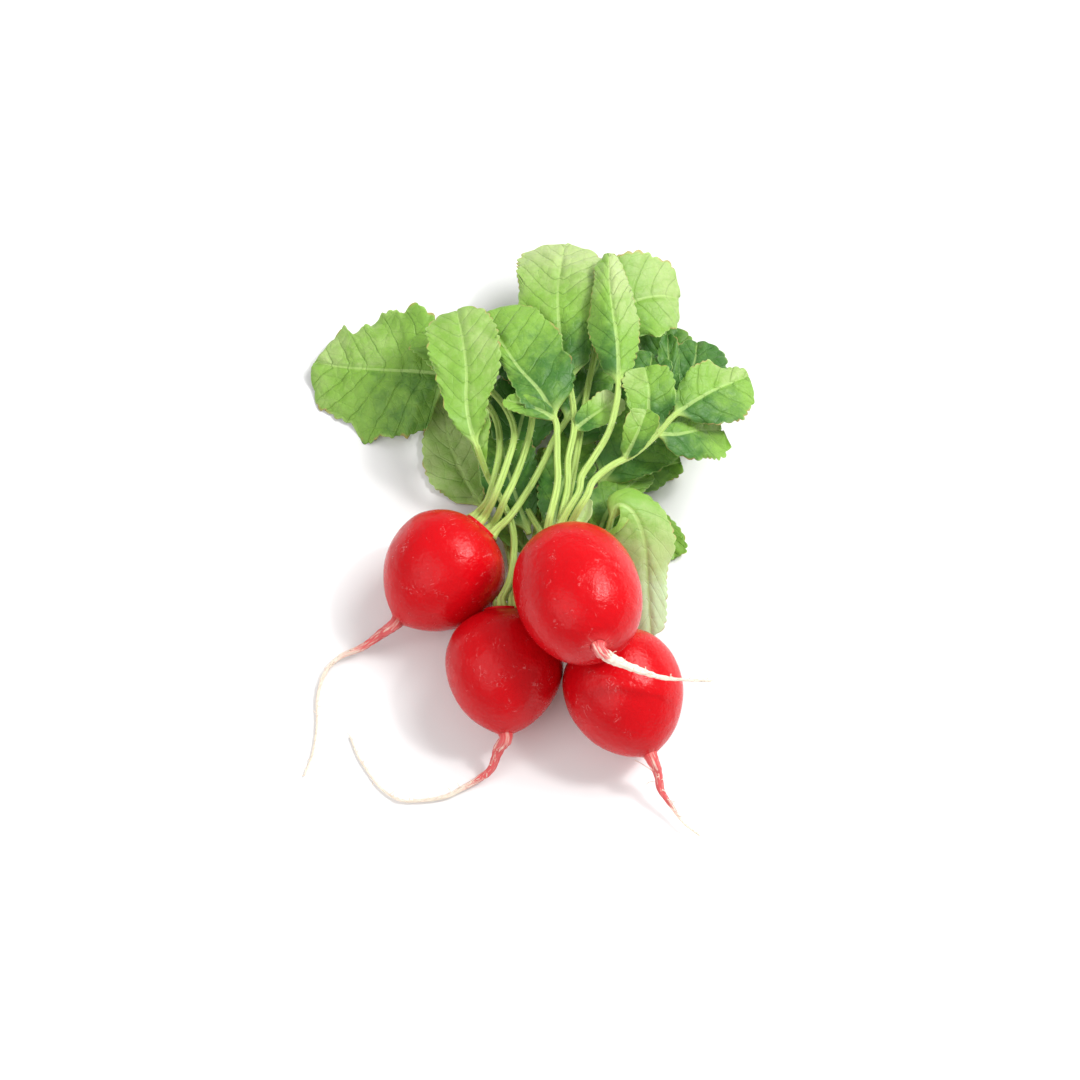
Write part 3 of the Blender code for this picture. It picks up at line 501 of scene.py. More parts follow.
class Sheet:
    """A stalk and blade, or a side lobe, as stations along a rib with five points across each."""

    def __init__(self, way, spine, places, blade, left, right, cup, base_radius):
        self.way = way                          # way-points of the rib
        self.places = places                    # distance of each station along the rib
        self.blade = blade                      # how far along the blade each station is; below 0 on a stalk
        self.left, self.right, self.cup, self.base_radius = left, right, cup, base_radius
        sides, ups = sheet_frame(spine)
        self.mix = ease(blade / STALK_FADE)
        stalk = np.clip(1 + np.minimum(blade, 0), 0, 1)
        self.rib = np.where(blade <= 0, base_radius + (STALK_TOP - base_radius) * stalk,
                            STALK_TOP + (RIB_TIP - STALK_TOP) * np.clip(blade, 0, 1))
        self.grid = np.zeros((len(spine), len(ACROSS), 3))
        self.thick = np.zeros((len(spine), len(ACROSS)))
        for row, t in enumerate(blade):
            for column, u in enumerate(ACROSS):
                widths, rise = (left, cup[0]) if u < 0 else (right, cup[1])
                wide = half_width(widths, max(t, 0)) if t > 0 else self.rib[row]
                wide = self.rib[row] + (wide - self.rib[row]) * self.mix[row]
                self.grid[row, column] = (spine[row] + sides[row] * u * wide
                                          + ups[row] * rise * wide * u * u * self.mix[row])
                round_half = self.rib[row] * math.sqrt(1 - u * u)
                flat_half = (self.rib[row], BLADE_HALF, 0.1)[round(abs(u) * 2)]
                self.thick[row, column] = round_half + (flat_half - round_half) * self.mix[row]
        self.flat = self.grid.copy()

    def rise(self):
        """How far each point was moved when the leaf was laid."""
        return self.grid - self.flat


def lobe_sheet(lobe):
    """The sheet of a side lobe or a small leaf, which has no stalk of its own."""
    curve, along = smooth_path(lobe["rib"])
    steps = np.array(LOBE_STEPS)
    return Sheet(lobe["rib"], at_distances(curve, along, steps * along[-1]), steps * along[-1], steps,
                 lobe["left"], lobe["right"], lobe["cup"], STALK_TOP)


def leaf_sheets(leaf):
    """The main sheet of a leaf and one for each side lobe."""
    foot, outward = crown_seat(ROOTS[leaf["root"]], *leaf["seat"])
    stalk = [foot, foot + outward * FOOT_LENGTH] + leaf["stalk"]
    way = stalk + leaf["blade"]
    curve, along = smooth_path(way)
    start = along[len(stalk) * PER_SPAN]
    on_stalk = np.concatenate([[0.0], np.linspace(FOOT_LENGTH, start, STALK_STEPS, endpoint=False)])
    wanted = np.concatenate([on_stalk, start + (along[-1] - start) * np.array(BLADE_STEPS)])
    blade = np.concatenate([on_stalk / start - 1, BLADE_STEPS])
    sheets = [Sheet(way, at_distances(curve, along, wanted), wanted, blade,
                    leaf["left"], leaf["right"], leaf["cup"], STALK_BASE)]
    return sheets + [lobe_sheet(lobe) for lobe in leaf.get("lobes", [])]


class HeightMap:
    """The top of everything laid so far, on small square cells."""

    def __init__(self):
        self.top = np.zeros(MAP_SIZE)

    def cells(self, points):
        low = np.array(MAP_LOW)
        cells = np.floor((points[..., :2] - low) / MAP_CELL).astype(int)
        return np.clip(cells, 1, np.array(MAP_SIZE) - 2)

    def below(self, points):
        """Highest top in the cells around each point."""
        cells = self.cells(points)
        found = np.zeros(points.shape[:-1])
        for x in (-1, 0, 1):
            for y in (-1, 0, 1):
                found = np.maximum(found, self.top[cells[..., 0] + x, cells[..., 1] + y])
        return found

    def add(self, points, tops):
        cells = self.cells(points)
        np.maximum.at(self.top, (cells[..., 0], cells[..., 1]), tops)


def quad_samples(field, row, column):
    """Values spread evenly over one cell of a grid."""
    t = np.linspace(0, 1, SAMPLES)[:, None, None]
    u = np.linspace(0, 1, SAMPLES)[None, :, None]
    corners = [np.atleast_1d(field[row + a, column + b]) for a in (0, 1) for b in (0, 1)]
    return ((1 - t) * (1 - u) * corners[0] + (1 - t) * u * corners[1]
            + t * (1 - u) * corners[2] + t * u * corners[3])


def foot_on_rib(main, lobe):
    """How far a side lobe moves so that it starts on the middle of the leaf's own rib."""
    rib, _ = smooth_path(main.grid[:, 2], 6)
    foot = lobe.grid[0, 2]
    nearest = rib[np.argmin(np.linalg.norm((rib - foot)[:, :2], axis=1))]
    return nearest - foot


def sheet_cells(sheet, last=None):
    """Row, column, points and half thicknesses of each cell of a sheet, or of its first rows."""
    rows, columns = sheet.thick.shape
    for row in range(rows - 1 if last is None else last):
        for column in range(columns - 1):
            points = quad_samples(sheet.grid, row, column)
            yield row, column, points, quad_samples(sheet.thick, row, column)[..., 0]


def lay_rows(sheet, heights, held, last=None):
    """Raises the rows of a sheet, but for the first few, until they clear what lies below them."""
    need = np.zeros(sheet.thick.shape)
    for row, column, points, thick in sheet_cells(sheet, last):
        below = heights.below(points)
        short = below + thick - points[..., 2]
        short = np.where(below > 0.01, short + LAY_GAP, short).max()
        need[row:row + 2, column:column + 2] = np.maximum(need[row:row + 2, column:column + 2], short)
    need[:held] = 0
    even = need.max(axis=1, keepdims=True)
    need = even + (need - even) * sheet.mix[:, None]
    rise = need.copy()
    for _ in range(SPREAD_TURNS):
        spread = np.pad(rise, 1, mode="edge")
        spread = (spread[:-2, 1:-1] + spread[2:, 1:-1] + spread[1:-1, :-2] + spread[1:-1, 2:]) / 4
        rise = np.maximum(need, spread)
        rise[:held] = 0
    sheet.grid[..., 2] += rise


def add_to_map(sheet, heights, last=None):
    """Adds the top of a sheet, or of its first rows, to the height map."""
    for _, _, points, thick in sheet_cells(sheet, last):
        heights.add(points, points[..., 2] + thick)


def lay_leaves():
    """Every leaf's sheets, laid on the table and on the leaves below."""
    heights = HeightMap()
    laid = {name: leaf_sheets(leaf) for name, leaf in LEAVES.items()}
    for name, sheets in laid.items():
        if name == BEFORE_UNDER:
            lay_rows(laid[UNDER][0], heights, 2, UNDER_ROWS)
            add_to_map(laid[UNDER][0], heights, UNDER_ROWS)
        lay_rows(sheets[0], heights, UNDER_ROWS if name == UNDER else 2)
        for lobe in sheets[1:]:
            lobe.grid += foot_on_rib(sheets[0], lobe)
            lay_rows(lobe, heights, 1)
        for sheet in sheets:
            add_to_map(sheet, heights)
    return laid


def lay_small_leaves(laid):
    """A sheet for each small leaf, between the leaves below it and those above."""
    names, sheets = list(laid), {}
    for name, leaf in SMALL_LEAVES.items():
        cut = names.index(leaf["after"]) + 1
        heights, ceiling = HeightMap(), HeightMap()
        for number, other in enumerate(names):
            for sheet in laid[other]:
                if number < cut:
                    add_to_map(sheet, heights)
                else:
                    add_below(sheet, ceiling)
        sheet = lobe_sheet(leaf)
        lay_rows(sheet, heights, 0)
        laid_grid = sheet.grid.copy()
        sheet.grid[..., 2] = CEILING - sheet.grid[..., 2]
        lay_rows(sheet, ceiling, 0)
        lowered = CEILING - sheet.grid[..., 2]
        sheet.grid = laid_grid
        sheet.grid[..., 2] = np.maximum(lowered, LAY_GAP)
        sheets[name] = sheet
    return sheets


def add_below(sheet, ceiling):
    """Adds the underside of a sheet to a map that counts down from the ceiling."""
    for _, _, points, thick in sheet_cells(sheet):
        ceiling.add(points, CEILING - (points[..., 2] - thick))


# ---------------------------------------------------------------- meshes

def rough(points, size, seed=0.0):
    """Smooth noise between about -1 and 1 at each point, with bumps of about the given size."""
    offset = Vector((seed * 7.3, seed * 3.1, seed * 5.7))
    flat = np.asarray(points, float).reshape(-1, 3) / size
    values = [noise.noise(Vector(point) + offset) for point in flat]
    return np.array(values).reshape(np.asarray(points).shape[:-1])


def ring_faces(rows, sides):
    """Quads between rings of the same number of points, then a fan of triangles at each end."""
    faces = []
    for row in range(rows - 1):
        low = row * sides
        for side in range(sides):
            following = (side + 1) % sides
            faces.append((low + side, low + following, low + sides + following, low + sides + side))
    first, last = rows * sides, rows * sides + 1
    for side in range(sides):
        following = (side + 1) % sides
        faces.append((first, following, side))
        faces.append((last, (rows - 1) * sides + side, (rows - 1) * sides + following))
    return faces


def closed_mesh(name, rings, ends, values, maps):
    """A mesh of rings with a point at each end, float attributes and UV maps. rings is rows x sides x 3."""
    rows, sides = rings.shape[:2]
    verts = np.vstack([rings.reshape(-1, 3), ends]) * MM
    faces = ring_faces(rows, sides)
    mesh = bpy.data.meshes.new(name)
    mesh.from_pydata(verts.tolist(), [], faces)
    loops = np.empty(len(mesh.loops), np.int32)
    mesh.loops.foreach_get("vertex_index", loops)
    for key, field in values.items():
        field = np.concatenate([field.ravel(), [field[0].mean(), field[-1].mean()]])
        mesh.attributes.new(key, "FLOAT", "POINT").data.foreach_set("value", field.astype(np.float32))
    for key, (across, along) in maps.items():
        pair = np.stack([across.ravel(), along.ravel()], axis=1)
        pair = np.vstack([pair, [across[0].mean(), along[0].mean()], [across[-1].mean(), along[-1].mean()]])
        mesh.uv_layers.new(name=key).data.foreach_set("uv", pair[loops].astype(np.float32).ravel())
    mesh.shade_smooth()
    return mesh


def face_outwards(mesh):
    """Turns every face outwards, if the mesh's volume says that they all face in."""
    corners = np.array([mesh.vertices[i].co for face in mesh.polygons for i in face.vertices[:3]])
    corners = corners.reshape(-1, 3, 3)
    volume = np.einsum("ij,ij->i", corners[:, 0], np.cross(corners[:, 1], corners[:, 2])).sum()
    if volume < 0:
        mesh.flip_normals()


def place(name, meshes, material, slot, node=None):
    """One piece from one or more meshes, riding on the body, in place of its construction node."""
    item = bpy.data.objects.new(name, meshes[0])
    bpy.context.collection.objects.link(item)
    if len(meshes) > 1:
        others = [bpy.data.objects.new(f"{name}_part", mesh) for mesh in meshes[1:]]
        for other in others:
            bpy.context.collection.objects.link(other)
        with bpy.context.temp_override(active_object=item, selected_editable_objects=[item] + others):
            bpy.ops.object.join()
    item.data.materials.clear()
    item.data.materials.append(material)
    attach(item, "root")
    if node:
        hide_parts(node)
    return item


# ---------------------------------------------------------------- roots

def globe_radius(t, radius, lean):
    """Radius of a root, full at the shoulder and leaner towards the tail."""
    t = np.asarray(t, float)
    shoulder = radius * np.sqrt(np.clip(1 - (np.clip((WIDEST - t) / WIDEST, 0, 1)) ** SHOULDER_CURVE, 0, 1))
    lower = radius * np.clip(1 - np.clip((t - WIDEST) / (1 - WIDEST), 0, 1) ** lean[0], 0, 1) ** lean[1]
    return np.where(t < WIDEST, shoulder, lower)


def root_rings(root):
    """Middles and radii of a root's rings, from its crown to the end of its tail.

    Also how red each ring is, whether it is on the crown's face, and where the tail starts.
    """
    centre, axis = np.array(root["centre"], float), unit(root["axis"])
    crown, end = centre - axis * root["half"], centre + axis * root["half"]
    # the crown's face, from near its middle out to the shoulder
    face = np.linspace(0.1, 1.0, FACE_ROWS)
    middles = [crown + axis * (0.7 * (1 - part ** 2) + 0.25 * part ** 6) for part in face]
    radii = [CROWN_RADIUS * part for part in face]
    blush = [1.0] * len(face)
    crowns = [1.0] * len(face)
    # the globe, which runs into the tail through a hollow
    turns = np.linspace(0.12, math.pi, GLOBE_ROWS)
    for turn in turns:
        t = (1 - math.cos(turn)) / 2
        middles.append(crown + (end - crown) * t)
        globe = float(globe_radius(t, root["radius"], root["lean"]))
        if t < WIDEST:
            radii.append(max(globe, CROWN_RADIUS + 0.2))
        else:
            radii.append((globe ** HOLLOW + (TAIL_RADIUS * NECK_FULLNESS) ** HOLLOW) ** (1 / HOLLOW))
        blush.append(1.0)
        crowns.append(0.0)
    # the tail
    curve, along = smooth_path([end - axis, end + axis * 1.5] + root["tail"], 24)
    length = along[-1]
    parts = np.linspace(0.0, 1.0, TAIL_ROWS) ** 1.1
    parts = parts[parts * length > 1.35]
    for part in parts:
        middles.append(at_distances(curve, along, [length * part])[0])
        radii.append(TAIL_TIP + (TAIL_RADIUS - TAIL_TIP) * (1 - part) ** root["taper"])
        blush.append(1.0 - float(ease((part - root["red"][0]) / (root["red"][1] - root["red"][0]))))
        crowns.append(0.0)
    middles, radii = np.array(middles), np.array(radii)
    joint = len(face) + len(turns)
    low, high = joint - NECK_ROWS, joint + NECK_ROWS
    for _ in range(NECK_TURNS):
        radii[low:high] = (radii[low - 1:high - 1] + 2 * radii[low:high] + radii[low + 1:high + 1]) / 4
    return middles, radii, np.array(blush), np.array(crowns), joint


def sweep_root(root, sides=ROOT_SIDES):
    """Rings of points around a root, its two end points and what the skin's material needs."""
    middles, radii, blush, crowns, joint = root_rings(root)
    steps = np.linalg.norm(np.diff(middles, axis=0), axis=1)
    distance = np.concatenate([[0.0], np.cumsum(steps)])
    tangents = np.gradient(middles, axis=0)
    tangents[:joint - 2] = unit(root["axis"])
    side = unit(np.cross(unit(root["axis"]), (0.0, 0.0, 1.0)))
    angles = 2 * math.pi * (np.arange(sides) + 0.5) / sides
    rings = []
    for middle, tangent, radius in zip(middles, tangents, radii):
        tangent = unit(tangent)
        side = unit(side - tangent * np.dot(side, tangent))
        up = np.cross(side, tangent)
        rings.append(middle + radius * (np.cos(angles)[:, None] * side + np.sin(angles)[:, None] * up))
    rings = np.array(rings)
    # lumps on the globe, furrows and knots along the tail
    outward = rings - middles[:, None, :]
    outward /= np.linalg.norm(outward, axis=2, keepdims=True)
    seed = root["seed"]
    lumps = (WIDE_LUMP[0] * rough(rings, WIDE_LUMP[1], seed)
             + SMALL_LUMP[0] * rough(rings, SMALL_LUMP[1], seed + 3))
    from_neck = distance - distance[joint - 1]
    on_tail = ease((from_neck + 1.0) / 3.0)
    around = np.stack([np.cos(angles) * 1.6, np.sin(angles) * 1.6], axis=1)
    grain = np.zeros(rings.shape[:2] + (3,))
    grain[..., :2] = around[None]
    grain[..., 2] = distance[:, None] / 6.0
    furrows = rough(grain * 1.3, 1.0, seed + 5)
    knots = rough(rings, KNOT_SIZE, seed + 9)
    tail_relief = np.minimum(radii, 2.2)[:, None] * (FURROW_DEPTH * furrows + root["knots"] * knots)
    relief = (tail_relief * on_tail[:, None]
              + lumps * (ease((radii - CROWN_RADIUS) / 4.0) * (1 - on_tail))[:, None])
    rings += outward * relief[..., None]
    values = {key: np.repeat(field[:, None], sides, 1)
              for key, field in (("blush", blush), ("crown", crowns), ("tail", on_tail))}
    maps = {"skin": (np.repeat(angles[None] * 0.002, len(radii), 0),
                     np.repeat(distance[:, None] * MM, sides, 1))}
    ends = np.array([middles[0], middles[-1] + unit(tangents[-1]) * 0.3])
    return rings, ends, values, maps


def root_shift(name, rings):
    """From the tables' own place to the construction node's."""
    low, high = (np.array(corner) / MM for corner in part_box(name))
    flat = rings.reshape(-1, 3)
    middle = (flat.min(axis=0) + flat.max(axis=0)) / 2
    shift = (low + high) / 2 - middle
    shift[2] = high[2] - flat[:, 2].max()
    return shift


def bunch_shift():
    """How far the leaves and tails move sideways from the tables to the frame."""
    rings = sweep_root(ROOTS["root_top"], COARSE_SIDES)[0]
    shift = root_shift("root_top", rings)
    shift[2] = 0.0
    return shift


def make_root(name, root, material):
    """A radish with its tail, in place of its construction node."""
    rings, ends, values, maps = sweep_root(root)
    shift = root_shift(name, rings)
    shift[:2] = bunch_shift()[:2]
    rings, ends = rings + shift, ends + shift
    rings[..., 2] = np.maximum(rings[..., 2], TABLE_GAP)
    mesh = closed_mesh(name, rings, ends, values, maps)
    face_outwards(mesh)
    return place(name.replace("root_", "radish_"), [mesh], material, "root_skin", name)


# ---------------------------------------------------------------- leaves

def width_along(widths, t):
    """Half width of a blade on a smooth curve through its table."""
    reach = tip_start(widths)
    width = eased_curve(np.linspace(0, reach, len(widths)), widths, np.minimum(t, reach))
    closing = np.sqrt(np.clip(1 - (np.clip(t - reach, 0, 1) / (1 - reach)) ** FINE_TIP_CURVE, 0, 1))
    return width * closing


def wandering(run, seed):
    """How far an outline wanders at each place along it, between about -1 and 1."""
    nought = np.zeros_like(run)
    wide = rough(np.stack([run / WIDE_WANDER, nought, nought + seed], axis=-1), 1.0, seed)
    return wide + 0.45 * rough(np.stack([run / SMALL_WANDER, nought + 4, nought + seed], axis=-1), 1.0, seed)


def margin_push(settings, run, wander, ragged, widest):
    """How far a margin is pushed out by its teeth and by its wander."""
    beat = run / settings.tooth_spacing + 1.3 * wander
    tooth = np.abs(np.sin(math.pi * beat)) ** 0.8 - 0.6
    uneven = 0.6 + 0.8 * np.clip(wander + 0.4, 0, 1)
    return (settings.tooth_depth * uneven * tooth + ragged * wander) * np.clip(widest / 8.0, 0.3, 1.0)


def laid_rise(sheet, place, column):
    """How far each place of a sheet was moved in laying. column is -1 at the left margin, 1 at the right."""
    rises = eased_curve(sheet.places, sheet.rise(), place)
    column = np.clip(column, -1, 1)
    first = np.clip(((column + 1) * 2).astype(int), 0, 3)
    share = ((column + 1) * 2 - first)[..., None]
    here, beside = (np.take_along_axis(rises, (first + step)[..., None, None].repeat(3, -1), 2)[..., 0, :]
                    for step in (0, 1))
    return here * (1 - share) + beside * share


def blade_surface(sheet, settings, look, seed, is_lobe):
    """Rings of a fine leaf or lobe, with what the leaf's material needs."""
    curve, along = smooth_path(sheet.way, FINE_SPAN)
    look = dict(zip(LOOK_KEYS, look))
    relief, ragged = look["relief"], look["ragged"]
    left, right = np.array(sheet.left) * look["fuller_left"], np.array(sheet.right) * look["fuller_right"]
    directions = sheet_frame(curve)
    start = float(np.interp(0.0, sheet.blade, sheet.places)) if not is_lobe else 0.0
    length = along[-1] - start
    columns = np.linspace(-math.pi / 2, math.pi / 2, 2 * HALF_COLUMNS + 1)
    u = np.sin(columns * 0.92) / math.sin(math.pi * 0.46)
    size = np.abs(u)
    sign = np.sign(u)
    veins = max(3, round(length / settings.vein_spacing))
    # places on the sheet: v along the rib from where the blade starts, x to the right of the rib
    rows = max(24, int(length / settings.grain))
    q = np.linspace(0.0, 0.985, rows)[:, None]
    reach = 2 * q - q * q
    wide = np.where(sign < 0, width_along(left, reach), width_along(right, reach))
    v = length * (q + (reach - q) * size[None] ** VEIN_SWEEP)
    x = wide * size[None]
    # teeth along the margin, each side with its own beat, on an outline that wanders
    rng = np.random.default_rng(int(seed * 13 + 5))
    side_start = rng.uniform(0, 1, 2)
    phase = q * veins + np.where(sign[None] < 0, side_start[0], side_start[1]) * ease(size[None] / 0.12) * 0.5
    run = length * reach + seed * 17 + 40 * (sign[None] > 0)
    wander = wandering(run, seed)
    push = margin_push(settings, run, wander, ragged, max(left.max(), right.max())) * ease(q / 0.12)
    margin_v, margin_x = length * np.repeat(reach, len(u), 1), wide
    across_v, across_x = -np.gradient(margin_x, axis=0), np.gradient(margin_v, axis=0)
    norm = np.hypot(across_v, across_x) + 1e-9
    push = push * size[None] ** 4
    v = v + push * across_v / norm
    x = np.maximum(x + push * across_x / norm, 0.3 * x) * sign[None]
    if not is_lobe:
        stalk_rows = max(8, int(start / 0.8))
        stalk_v = np.linspace(-start - 1.0, -0.3, stalk_rows)[:, None]
        v = np.vstack([np.repeat(stalk_v, len(u), 1), v])
        x, q, phase, run, wander = (np.vstack([np.zeros((stalk_rows, field.shape[1])), field])
                                    for field in (x, q, phase, run, wander))
    t = v / length
    mix = ease(t / STALK_FADE)
    stalk_t = np.clip(1 + v / max(start, 1e-6), 0, 1) if not is_lobe else np.ones_like(v)
    flare = 1 + 0.55 * np.exp(-(v + start) / 1.6) if not is_lobe else 1.0
    rib = flare * np.where(t > 0, STALK_TOP * (1 - 0.86 * np.clip(t, 0, 1) ** 0.45),
                           sheet.base_radius + (STALK_TOP - sheet.base_radius) * stalk_t)
    turn = u[None] * math.pi / 2
    x_round, z_round = rib * np.sin(turn), rib * np.cos(turn)
    # a stalk is furrowed on top and ridged underneath
    furrow = 1 - 0.28 * np.exp(-(turn / 0.38) ** 2)
    top_round, low_round = z_round * furrow, -z_round * (1 + 0.05 * np.cos(6 * turn))
    x = x_round + (x - x_round) * mix
    edge = np.sqrt(np.clip(1 - size[None] ** 10, 0, 1))
    half_thick = settings.blade_thickness / 2 * edge
    ribbed = rib * np.exp(-(x / (rib * 1.15)) ** 2)
    top_flat = half_thick + ribbed * 0.12
    low_flat = -half_thick - ribbed * 1.25
    # the blade's own relief
    cup = np.where(sign[None] < 0, sheet.cup[0], sheet.cup[1])
    on_blade = np.clip(t, 0, 1)
    wide_now = np.where(sign < 0, width_along(left, on_blade), width_along(right, on_blade))
    wide_now = np.maximum(rib + (wide_now - rib) * mix, SMALLEST_HALF)
    beyond = np.clip(np.abs(x) / wide_now, 0, 1.15)
    lift = cup * wide_now * beyond ** 2
    small = relief * min(1.0, length / 26)
    lift = lift + settings.pucker * small * np.abs(np.sin(math.pi * phase)) ** 0.8 * np.clip(
        size[None] / 0.12, 0, 1) * (1 - size[None] ** 6)
    lift = lift - 0.30 * np.exp(-(x / 0.9) ** 2)
    wave = wander + 0.4 * np.sin(run / 3.1 + seed)
    lift = lift + settings.ruffle * small * size[None] ** 3 * wave * ease(q / 0.12)
    lift = lift * mix
    # place it all along the laid rib
    place_v = np.clip(v + start, 0, along[-1])
    spine = at_distances(curve, along, place_v)
    side, up = (at_distances(field, along, place_v) for field in directions)
    before = np.clip(v + start, None, 0)[..., None] * unit(curve[1] - curve[0])
    base = spine + before + side * x[..., None] + laid_rise(sheet, place_v, x / wide_now)
    inner = np.clip(np.abs(x) / 2.0, 0, 1) * mix * small
    uneven_lift = (1.0 * rough(base, 9.0, seed) + 0.30 * rough(base, 3.2, seed + 2)) * inner
    top = base + up * (lift + uneven_lift + top_round + (top_flat - top_round) * mix)[..., None]
    bottom = base + up * (lift + uneven_lift + low_round + (low_flat - low_round) * mix)[..., None]
    rings = np.concatenate([top, bottom[:, -2:0:-1]], axis=1)

    def both(field):
        field = np.broadcast_to(field, v.shape)
        return np.concatenate([field, field[:, -2:0:-1]], axis=1)

    under = np.concatenate([np.zeros(v.shape), np.ones(v.shape)[:, -2:0:-1]], axis=1)
    foot = np.clip(1 - (v + start) / 14.0, 0, 1) if not is_lobe else np.zeros_like(v)
    # the tone runs from foot to tip; its low values are partly painted shade where a blade lies deep in the
    # bunch
    tone = look["foot_tone"] + (look["tip_tone"] - look["foot_tone"]) * ease(t)
    # painted light: turn makes the half of the blade that faces the light paler than the other
    tone = tone + look["turn"] * sign[None] * ease(size[None] / 0.1)
    values = {"stalk": both(1 - mix), "under": under, "foot": both(foot), "tone": both(tone),
              "along": both(np.clip(t, 0, 1)), "relief": both(np.full(v.shape, relief))}
    maps = {"blade": (both(x * MM), both(v * MM)), "veins": (both(phase), both(size[None]))}
    middles = rings.mean(axis=1)
    tip = middles[-1] + (middles[-1] - middles[-3]) * 0.2
    return rings, np.array([middles[0], tip]), values, maps


def make_leaf(name, sheets, settings, seed, shift, material, slot, small=False):
    """A leaf with its side lobes, in place of its construction node unless it is a small one."""
    meshes = []
    for number, sheet in enumerate(sheets):
        rings, ends, values, maps = blade_surface(sheet, settings, LOOKS[name], seed + number * 0.7,
                                                  small or number > 0)
        rings, ends = rings + shift, ends + shift
        rings[..., 2] = np.maximum(rings[..., 2], TABLE_GAP)
        mesh = closed_mesh(f"{name}_{number}", rings, ends, values, maps)
        face_outwards(mesh)
        meshes.append(mesh)
    if small:
        return place(f"foliage_small_{name}", meshes, material, slot)
    return place(name.replace("leaf_", "foliage_"), meshes, material, slot, name)


# ---------------------------------------------------------------- materials

class Tree:
    """A node tree that is filled by short calls."""

    def __init__(self, tree):
        self.tree = tree

    def add(self, kind, settings=None, **inputs):
        node = self.tree.nodes.new(kind)
        for key, value in (settings or {}).items():
            setattr(node, key, value)
        for key, value in inputs.items():
            self.put(node.inputs[int(key[1:]) if key[0] == "i" and key[1:].isdigit() else
                                 key.replace("_", " ")], value)
        return node

    def put(self, socket, value):
        if isinstance(value, bpy.types.NodeSocket):
            self.tree.links.new(value, socket)
        elif socket.type == "RGBA":
            socket.default_value = (*value[:3], 1.0)
        else:
            socket.default_value = value

    def math(self, operation, a, b=0.0, clamp=False):
        node = self.add("ShaderNodeMath", {"operation": operation, "use_clamp": clamp}, i0=a, i1=b)
        return node.outputs[0]

    def plus(self, a, b):
        return self.math("ADD", a, b)

    def minus(self, a, b):
        return self.math("SUBTRACT", a, b)

    def times(self, *values):
        """The product of two or more values."""
        product = values[0]
        for value in values[1:]:
            product = self.math("MULTIPLY", product, value)
        return product

    def stretched(self, vector, across, along):
        """A UV map scaled by different amounts across and along."""
        return self.add("ShaderNodeMapping", None, Vector=vector, Scale=(across, along, 1.0)).outputs[0]

    def noise(self, vector, scale, detail=2.0, roughness=0.5, distortion=0.0):
        node = self.add("ShaderNodeTexNoise", None, Vector=vector, Scale=scale, Detail=detail,
                        Roughness=roughness, Distortion=distortion)
        return node.outputs["Fac"]

    def span(self, value, low, high, to_low=0.0, to_high=1.0):
        node = self.add("ShaderNodeMapRange", {"interpolation_type": "SMOOTHSTEP"}, Value=value,
                        From_Min=low, From_Max=high, To_Min=to_low, To_Max=to_high)
        return node.outputs[0]

    def mix(self, share, a, b):
        node = self.tree.nodes.new("ShaderNodeMix")
        node.data_type = "RGBA"
        self.put(node.inputs[0], share)
        self.put(node.inputs[6], a)
        self.put(node.inputs[7], b)
        return node.outputs[2]

    def attribute(self, name):
        return self.add("ShaderNodeAttribute", {"attribute_name": name}).outputs["Fac"]


def add_inputs(group, inputs):
    """Named input sockets of a group: (kind, name, default)."""
    for kind, name, default in inputs:
        socket = group.interface.new_socket(name, in_out="INPUT", socket_type=f"NodeSocket{kind}")
        if default is not None:
            socket.default_value = default


def tree_ends(group):
    """A group's tree, its inputs and its outputs."""
    return Tree(group), group.nodes.new("NodeGroupInput").outputs, group.nodes.new("NodeGroupOutput").inputs


def new_group(name, inputs, outputs):
    """A shader group with named sockets in, and named outputs that are numbers."""
    group = bpy.data.node_groups.new(name, "ShaderNodeTree")
    add_inputs(group, inputs)
    for socket_name in outputs:
        group.interface.new_socket(socket_name, in_out="OUTPUT", socket_type="NodeSocketFloat")
    return tree_ends(group)


def mottle_group():
    """Soft patches of two sizes, from 0 to 1."""
    tree, given, out = new_group("Mottle", [("Vector", "Vector", None),
                                            ("Float", "Scale", 100.0),
                                            ("Float", "Contrast", 0.5)],
                                 ["Value"])
    wide = tree.noise(given["Vector"], given["Scale"], 3.0, 0.6)
    fine = tree.noise(given["Vector"], tree.times(given["Scale"], 4.3), 2.0, 0.6)
    both = tree.plus(tree.times(wide, 0.7), tree.times(fine, 0.3))
    low = tree.minus(0.5, tree.times(given["Contrast"], 0.25))
    high = tree.plus(0.5, tree.times(given["Contrast"], 0.25))
    tree.put(out["Value"], tree.span(both, low, high))
    return tree.tree


def speck_group():
    """Small scattered dots, 1 on a dot and 0 elsewhere."""
    tree, given, out = new_group("Specks", [("Vector", "Vector", None),
                                            ("Float", "Scale", 600.0),
                                            ("Float", "Size", 0.2),
                                            ("Float", "Share", 0.4)],
                                 ["Mask"])
    cells = tree.add("ShaderNodeTexVoronoi", None, Vector=given["Vector"], Scale=given["Scale"])
    near = tree.span(cells.outputs["Distance"], tree.times(given["Size"], 0.5), given["Size"], 1.0, 0.0)
    tone = tree.add("ShaderNodeSeparateColor", None, Color=cells.outputs["Color"]).outputs[0]
    some = tree.math("LESS_THAN", tone, given["Share"])
    tree.put(out["Mask"], tree.times(near, some))
    return tree.tree


